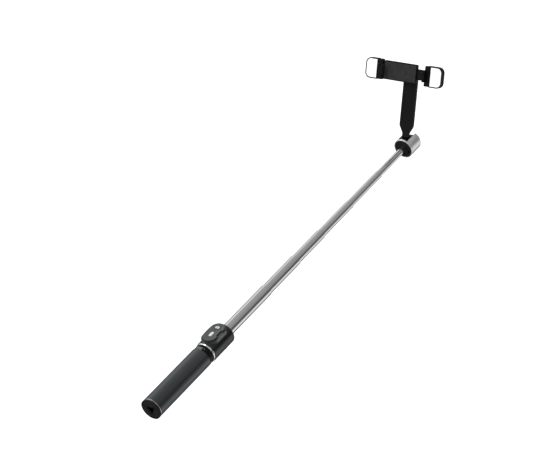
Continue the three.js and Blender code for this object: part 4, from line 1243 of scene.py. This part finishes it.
# %% Clamp body and cover
CLAMP_WALL = 1.2
CLAMP_CORNER = 2.0
CAVITY_CORNER = 0.8
BOSS_RADIUS = 11.0
BOSS_HEIGHT = 1.6
BOSS_ROOT = 0.5
JAW_TONGUE_FRONT = 13.0
JAW_TONGUE_BACK = 11.2
JAW_TONGUE_HALF = 8.0
clamp_low, clamp_high = spread("clamp_body", GRIP)
cover_low, cover_high = spread("clamp_cover", GRIP)
clamp_front = -clamp_low.y
boss_back = -clamp_high.y
clamp_back = boss_back + BOSS_HEIGHT
half_height = clamp_high.z
body_outline = oblong(clamp_low.x, clamp_high.x, -half_height, half_height, CLAMP_CORNER)
cavity_outline = oblong(
    clamp_low.x + CLAMP_WALL, clamp_high.x - CLAMP_WALL,
    -half_height + CLAMP_WALL, half_height - CLAMP_WALL, CAVITY_CORNER,
)
body = join(
    plate(body_outline, clamp_back, clamp_front, FRONT),
    rod(BOSS_RADIUS, boss_back, clamp_back + BOSS_ROOT, FRONT, 72, (-jaw_middle, 0)),
)
mouths = cuboid(
    (clamp_low.x - OVER, clamp_high.x + OVER),
    (-JAW_TONGUE_FRONT - GAP, -JAW_TONGUE_BACK + GAP),
    (-JAW_TONGUE_HALF - GAP, JAW_TONGUE_HALF + GAP),
)
cut(
    body,
    plate(cavity_outline, clamp_back + CLAMP_WALL, clamp_front + OVER, FRONT),
    mouths,
    rod(BOLT_BORE, 0, clamp_front + 2 * OVER, FRONT, 40, (-jaw_middle, 0)),
)
fit(soften(body, radius=0.3), "clamp_case", "clamp_body", satin_black, GRIP)

RIB_COUNT = 9
GROOVE_WIDTH = 0.9
GROOVE_DEPTH = 0.4
GROOVE_MARGIN = 2.0
COVER_CORNER = 0.7
cover_front = -cover_low.y
cover_outline = oblong(cover_low.x, cover_high.x, cover_low.z, cover_high.z, COVER_CORNER)
cover = plate(cover_outline, -cover_high.y, cover_front, FRONT)
grooves = []
pitch = (cover_high.z - cover_low.z) / (RIB_COUNT + 1)
half = GROOVE_WIDTH / 2
for number in range(1, RIB_COUNT + 1):
    z = cover_low.z + pitch * number
    start, stop = cover_low.x + GROOVE_MARGIN, cover_high.x - GROOVE_MARGIN
    outline = oblong(start, stop, z - half, z + half, half - TUCK)
    grooves.append(plate(outline, cover_front - GROOVE_DEPTH, cover_front + OVER, FRONT))
cut(cover, *grooves)
fit(soften(cover, radius=0.12, steps=2), "clamp_pad", "clamp_cover", grip_rubber, GRIP)

# %% [markdown]
# A spring inside the case pulls the moving jaw shut. One end sits on a post of the case and the
# other on a lug of the jaw's tongue, so it gets longer and shorter as the jaw slides. The turns are
# wider apart in the middle, which is where they close up most.

# %% Clamp spring
SPRING_TURNS = 9
SPRING_WIRE = 0.24
TURN_STEPS = 28
WIRE_SIDES = 10
OPEN_MIDDLE = 0.45


def make_coil(low, high):
    """A round wire wound about X, between two corners of the room it may fill."""
    axis = (low + high) / 2
    radius = (high.z - low.z) / 2 - SPRING_WIRE
    length = high.x - low.x - 2 * SPRING_WIRE
    shape = bmesh.new()
    rows = []
    for step in range(SPRING_TURNS * TURN_STEPS + 1):
        turn = 2 * math.pi * step / TURN_STEPS
        share = turn / (2 * math.pi * SPRING_TURNS)
        eased = share - OPEN_MIDDLE * math.sin(2 * math.pi * share) / (2 * math.pi)
        outward = Vector((0, math.cos(turn), math.sin(turn)))
        wire = Vector((low.x + SPRING_WIRE + length * eased, axis.y, axis.z)) + outward * radius
        row = []
        for across, along_x in arc((0, 0), SPRING_WIRE, 0, 360 - 360 / WIRE_SIDES, WIRE_SIDES - 1):
            row.append(shape.verts.new(wire + outward * across + Vector((along_x, 0, 0))))
        rows.append(row)
    for first, second in zip(rows, rows[1:]):
        for side in range(WIRE_SIDES):
            beside = (side + 1) % WIRE_SIDES
            shape.faces.new((first[side], first[beside], second[beside], second[side]))
    shape.faces.new(rows[0])
    shape.faces.new(rows[-1])
    return blank(shape, UP)


spring_low, spring_high = spread("clamp_spring", GRIP)
spring = make_coil(spring_low, spring_high)
dress(spring, "spring_coil", bright_steel, GRIP)
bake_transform(spring)
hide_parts("clamp_spring")
print("spring at rest:", round(spring_high.x - spring_low.x, 1), "mm")

# %% Jaws
JAW_WALL = 2.6
JAW_WALL_HALF = 8.6
HOOK_THICKNESS = 1.6
HOOK_HALF = 6.0
HOOK_REACH = 3.0
HINGE_OUT = hinge_point.x
EAR_RADIUS = 2.3
EAR_HEIGHT = 5.0
EAR_ROOM = 0.9
BRIDGE_BACK = 1.8
LIGHT_PIN_BORE = 1.1
LUG_REACH = 4.0
LUG_LENGTH = 3.0
LEFT_TONGUE_END = 5.6
light_low, light_high = spread("light_housing_right", GRIP)
light_front = -light_low.y
light_back = -hinge_point.y
tongue_ends = {"left": clamp_low.x + LEFT_TONGUE_END, "right": spread("jaw_right", GRIP)[0].x}


def make_jaw(side, hand):
    """A jaw drawn for one side: its x values run outwards from the clamp's middle."""
    low, high = spread(f"jaw_{hand}", GRIP)
    pad_low, pad_high = spread(f"jaw_pad_{hand}", GRIP)
    outer = max(abs(low.x), abs(high.x))
    inner = max(abs(pad_low.x), abs(pad_high.x)) + GAP
    hook_end = min(abs(pad_low.x), abs(pad_high.x)) - HOOK_REACH
    half_block = high.z
    hinge_face = light_back + EAR_RADIUS + EAR_ROOM
    wall_front = -low.y
    tongue_end = tongue_ends[hand]
    hinge = (side * HINGE_OUT, -light_back)

    def outwards(near, far):
        return sorted((side * near, side * far))

    def slab(near, far, back, front, half, corner):
        outline = oblong(*outwards(near, far), -half, half, corner)
        return soften(plate(outline, back, front, FRONT), radius=0.25, steps=2)

    bridge_end = HINGE_OUT - EAR_RADIUS - 1
    bridge_back = light_back + BRIDGE_BACK
    hook_back = wall_front - HOOK_THICKNESS
    tongue = cuboid(
        sorted((tongue_end, side * (inner + 1))),
        (-JAW_TONGUE_FRONT, -JAW_TONGUE_BACK),
        (-JAW_TONGUE_HALF, JAW_TONGUE_HALF),
    )
    pieces = [
        slab(inner, outer, hinge_face, light_front, half_block, 1.2),
        slab(inner + 2 * TUCK, bridge_end, bridge_back, hinge_face + 1, half_block - 2 * TUCK, 0.4),
        slab(inner + TUCK, inner + JAW_WALL, light_front - 1, wall_front, JAW_WALL_HALF, 0.5),
        slab(hook_end, inner + JAW_WALL - TUCK, hook_back, wall_front, HOOK_HALF, 0.8),
        soften(tongue, radius=0.2, steps=2),
    ]
    web = outwards(HINGE_OUT - EAR_RADIUS + TUCK, HINGE_OUT + EAR_RADIUS - TUCK)
    for bottom in (half_block - EAR_HEIGHT, -half_block):
        top = bottom + EAR_HEIGHT
        ear = rod(EAR_RADIUS, bottom + TUCK, top - TUCK, UP, 40, hinge)
        ear_web = cuboid(web, (-hinge_face - 1, -light_back), (bottom + 2 * TUCK, top - 2 * TUCK))
        pieces += [soften(ear, radius=0.25, steps=2), ear_web]
    if side > 0:
        lug_y = (-JAW_TONGUE_FRONT + TUCK, -JAW_TONGUE_BACK - TUCK)
        lug_x = (tongue_end, tongue_end + LUG_LENGTH)
        pieces.append(cuboid(lug_x, lug_y, (0, JAW_TONGUE_HALF + LUG_REACH)))
    jaw = join(*pieces)
    cut(jaw, rod(LIGHT_PIN_BORE, -half_block - OVER, half_block + OVER, UP, SMALL, hinge))
    fit(jaw, f"jaw_{hand}_moulding", f"jaw_{hand}", satin_black, GRIP)


for side, hand in HANDS:
    make_jaw(side, hand)

# %% Ribbed pads
RIDGE_COUNT = 12
RIDGE_DEPTH = 0.45
RIDGE_FOOT, RIDGE_CREST = 0.18, 0.38


def make_pad(side, hand):
    """A rubber pad whose gripping face is a row of ridges, drawn as one closed outline."""
    low, high = spread(f"jaw_pad_{hand}", GRIP)
    face, back = (low.x, high.x) if side > 0 else (high.x, low.x)
    root = face + side * RIDGE_DEPTH
    ridge = (high.z - low.z) / RIDGE_COUNT
    outline = [(back, low.z), (root, low.z)]
    for number in range(RIDGE_COUNT):
        z = low.z + ridge * number
        outline += [
            (root, z + ridge * RIDGE_FOOT),
            (face, z + ridge * RIDGE_CREST),
            (face, z + ridge * (1 - RIDGE_CREST)),
            (root, z + ridge * (1 - RIDGE_FOOT)),
        ]
    outline += [(root, high.z), (back, high.z)]
    pad = plate(outline, -high.y, -low.y, FRONT)
    fit(soften(pad, radius=0.12, steps=2), f"grip_pad_{hand}", f"jaw_pad_{hand}", grip_rubber, GRIP)


for side, hand in HANDS:
    make_pad(side, hand)

# %% [markdown]
# ## The lights
# A light is a shallow tray, straight beside its hinge and round on the outer side. A fine seam
# runs round its wall, a barrel carries the pin, and the diffuser drops into the front. The left
# light is the right one turned over, so one function draws both in their own places.

# %% Lights
LIGHT_CORNER = 8.5
LIGHT_WALL = 1.4
BACK_WALL = 1.2
TRAY_START = 3.4
BARREL_RADIUS = 2.2
BARREL_HALF = 9.6
SEAM_HALF = 0.3
SEAM_DEPTH = 0.25
WEB_DEPTH = 2.4
WEB_ROOT = 0.5
KEY_HOLE_X, KEY_HOLE_Y = 0.5, 0.3
KEY_CAP_X, KEY_CAP_Y = 0.8, 0.6
KEY_HEIGHT = 1.6
KEY_FLANGE = 0.6
KEY_CORNER = 0.5
light_inner = HINGE_OUT + TRAY_START
light_outer = light_high.x
light_half = light_high.z
light_middle = (light_back + light_front) / 2


def light_outline(inset, steps=20):
    half = light_half - inset
    inner = light_inner + inset
    outer = light_outer - inset
    corner = LIGHT_CORNER - inset
    lower = arc((outer - corner, corner - half), corner, -90, 0, steps)
    upper = arc((outer - corner, half - corner), corner, 0, 90, steps)
    return [(inner, half), (inner, -half)] + lower + upper


def inside(low, high, x_margin, y_margin):
    """The x and y ranges between two corners, less a margin on every side."""
    x = (low.x + x_margin, high.x - x_margin)
    return x, (low.y + y_margin, high.y - y_margin)


def make_light(hand, place):
    housing = plate(light_outline(0), light_back, light_front, FRONT)
    cut(housing, plate(light_outline(LIGHT_WALL), light_back + BACK_WALL, light_front + OVER, FRONT))
    hinge = (HINGE_OUT, -light_back)
    web = cuboid(
        (HINGE_OUT, light_inner + WEB_ROOT),
        (-light_back - WEB_DEPTH + TUCK, -light_back - TUCK),
        (-BARREL_HALF + TUCK, BARREL_HALF - TUCK),
    )
    join(housing, rod(BARREL_RADIUS, -BARREL_HALF, BARREL_HALF, UP, 40, hinge), web)
    seam = plate(light_outline(-1), light_middle - SEAM_HALF, light_middle + SEAM_HALF, FRONT)
    cut(seam, plate(light_outline(SEAM_DEPTH), light_middle - OVER, light_middle + OVER, FRONT))
    key_low, key_high = spread(f"light_button_{hand}", place)
    hole_x, hole_y = inside(key_low, key_high, KEY_HOLE_X, KEY_HOLE_Y)
    cut(
        housing,
        seam,
        rod(LIGHT_PIN_BORE, -BARREL_HALF - OVER, BARREL_HALF + OVER, UP, SMALL, hinge),
        cuboid(hole_x, hole_y, (-light_half - OVER, -light_half + LIGHT_WALL + OVER)),
    )
    fit(soften(housing, radius=0.22), f"light_tray_{hand}", f"light_housing_{hand}", satin_black, place)

    low, high = spread(f"light_diffuser_{hand}", place)
    glass = plate(light_outline(LIGHT_WALL + GAP), -high.y, -low.y, FRONT)
    soften(glass, radius=0.35, steps=4)
    fit(glass, f"light_glass_{hand}", f"light_diffuser_{hand}", glowing_diffuser, place)

    x, y = inside(key_low, key_high, KEY_CAP_X, KEY_CAP_Y)
    cap_outline = oblong(*x, *y, (y[1] - y[0]) / 2 - 2 * TUCK)
    cap = soften(plate(cap_outline, key_low.z, key_low.z + KEY_HEIGHT), radius=0.2)
    flange_outline = oblong(key_low.x, key_high.x, key_low.y, key_high.y, KEY_CORNER)
    flange_z = -light_half + LIGHT_WALL + SEAT
    flange = plate(flange_outline, flange_z, flange_z + KEY_FLANGE)
    fit(join(cap, flange), f"light_key_{hand}", f"light_button_{hand}", satin_black, place)
    refinish(f"light_board_{hand}", board_green)
    refinish(f"light_pin_{hand}", bright_steel)


for hand, place in (("right", LIGHT_RIGHT), ("left", LIGHT_LEFT)):
    make_light(hand, place)

# %% [markdown]
# ## The studio
# Polished metal shows its surroundings more than itself, so the surroundings are designed. The
# world is brighter and darker by turns round the pole, as tall soft boxes and dark cards would
# make it, and every tube picks the same bands up. Lamps add the shading of the black plastic. A
# pale sweep stands well below and behind the stick and is kept out of its reflections.

# %% World
world = bpy.data.worlds.new("studio")
bpy.context.scene.world = world
world.use_nodes = True
sky = Mixture(world.node_tree)
direction = sky.node("ShaderNodeTexCoord", output="Generated")
split = sky.node("ShaderNodeSeparateXYZ", None, {"Vector": direction})
east, north = [Wire(sky, split.socket.node.outputs[name]) for name in "XY"]
camera_bearing = math.atan2(CAMERA_POINT.y, CAMERA_POINT.x)
ahead = east * math.cos(camera_bearing) + north * math.sin(camera_bearing)
beside = north * math.cos(camera_bearing) - east * math.sin(camera_bearing)
bearing = beside.maths("ARCTAN2", beside, ahead) * (0.5 / math.pi) + 0.5
BANDS = [
    (0.00, 0.30), (0.10, 0.25), (0.145, 0.30), (0.18, 1.00), (0.22, 1.15),
    (0.275, 1.00), (0.295, 0.42), (0.33, 0.52), (0.54, 0.38), (0.59, 0.11),
    (0.65, 0.12), (0.68, 0.70), (0.77, 0.80), (0.81, 0.30), (1.00, 0.30),
]
bands = sky.ramp(bearing, BANDS, "EASE")
light = sky.node("ShaderNodeBackground", None, {"Color": bands, "Strength": 1.0})
plain = sky.node("ShaderNodeBackground", None, {"Color": shade(1.0), "Strength": 1.0})
seen = sky.node("ShaderNodeLightPath", output="Is Camera Ray")
shown = sky.node("ShaderNodeMixShader", None, {0: seen, 1: light, 2: plain})
sky.node("ShaderNodeOutputWorld", None, {"Surface": shown})
print("studio bands:", len(BANDS))

# %% Lamps and backdrop
low_corner, high_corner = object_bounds()
middle = (low_corner + high_corner) / 2


def studio_point(right, up, nearer):
    """A point given in metres from the stick's middle along the camera's axes."""
    return middle + camera_right * right + camera_up * up - CAMERA_LOOK * nearer


def lamp(name, point, width, height, watts):
    data = bpy.data.lights.new(name, "AREA")
    data.shape = "RECTANGLE"
    data.size = width
    data.size_y = height
    data.energy = watts
    light = bpy.data.objects.new(name, data)
    light.location = point
    light.rotation_mode = "QUATERNION"
    light.rotation_quaternion = (middle - point).to_track_quat("-Z", "Y")
    bpy.context.collection.objects.link(light)


lamp("key_lamp", studio_point(-1.2, 1.6, 1.0), 1.2, 1.2, 14)
lamp("fill_lamp", studio_point(0.3, 0.2, 2.6), 1.6, 1.6, 5)
lamp("rim_lamp", studio_point(1.6, -0.6, -0.6), 0.6, 1.4, 1.5)


SWEEP_FLOOR = -3.4
SWEEP_WALL = -3.6
SWEEP_REACH = 9.0
SWEEP_CORNER = 1.6


def make_sweep():
    """A floor far below the stick that curves up into a wall behind it."""
    near_wall = SWEEP_WALL + SWEEP_CORNER
    over_floor = SWEEP_FLOOR + SWEEP_CORNER
    curve = [(SWEEP_REACH, SWEEP_FLOOR)]
    for turn in range(0, 91, 10):
        angle = math.radians(turn)
        nearer = near_wall - SWEEP_CORNER * math.sin(angle)
        curve.append((nearer, over_floor - SWEEP_CORNER * math.cos(angle)))
    curve.append((SWEEP_WALL, SWEEP_REACH))
    shape = bmesh.new()
    rows = []
    for nearer, up in curve:
        ends = [studio_point(x, up, nearer) for x in (-SWEEP_REACH, SWEEP_REACH)]
        rows.append([shape.verts.new(point) for point in ends])
    for first, second in zip(rows, rows[1:]):
        shape.faces.new((first[0], first[1], second[1], second[0]))
    bmesh.ops.recalc_face_normals(shape, faces=shape.faces)
    mesh = bpy.data.meshes.new("sweep")
    shape.to_mesh(mesh)
    shape.free()
    mesh.shade_smooth()
    sweep = bpy.data.objects.new("pale_sweep", mesh)
    bpy.context.collection.objects.link(sweep)
    paper = Finish("pale_paper", Roughness=0.9, Emission_Strength=0.9)
    paper.shader.inputs["Emission Color"].default_value = shade(1.0)
    fibres = paper.grain(0.02)
    tone = paper.mix(fibres, shade(0.90), shade(0.93))
    mesh.materials.append(paper.coat(Base_Color=tone))
    sweep.visible_glossy = False
    sweep.visible_diffuse = False
    sweep.visible_shadow = False
    return sweep


make_sweep()
print("three lamps and a sweep")
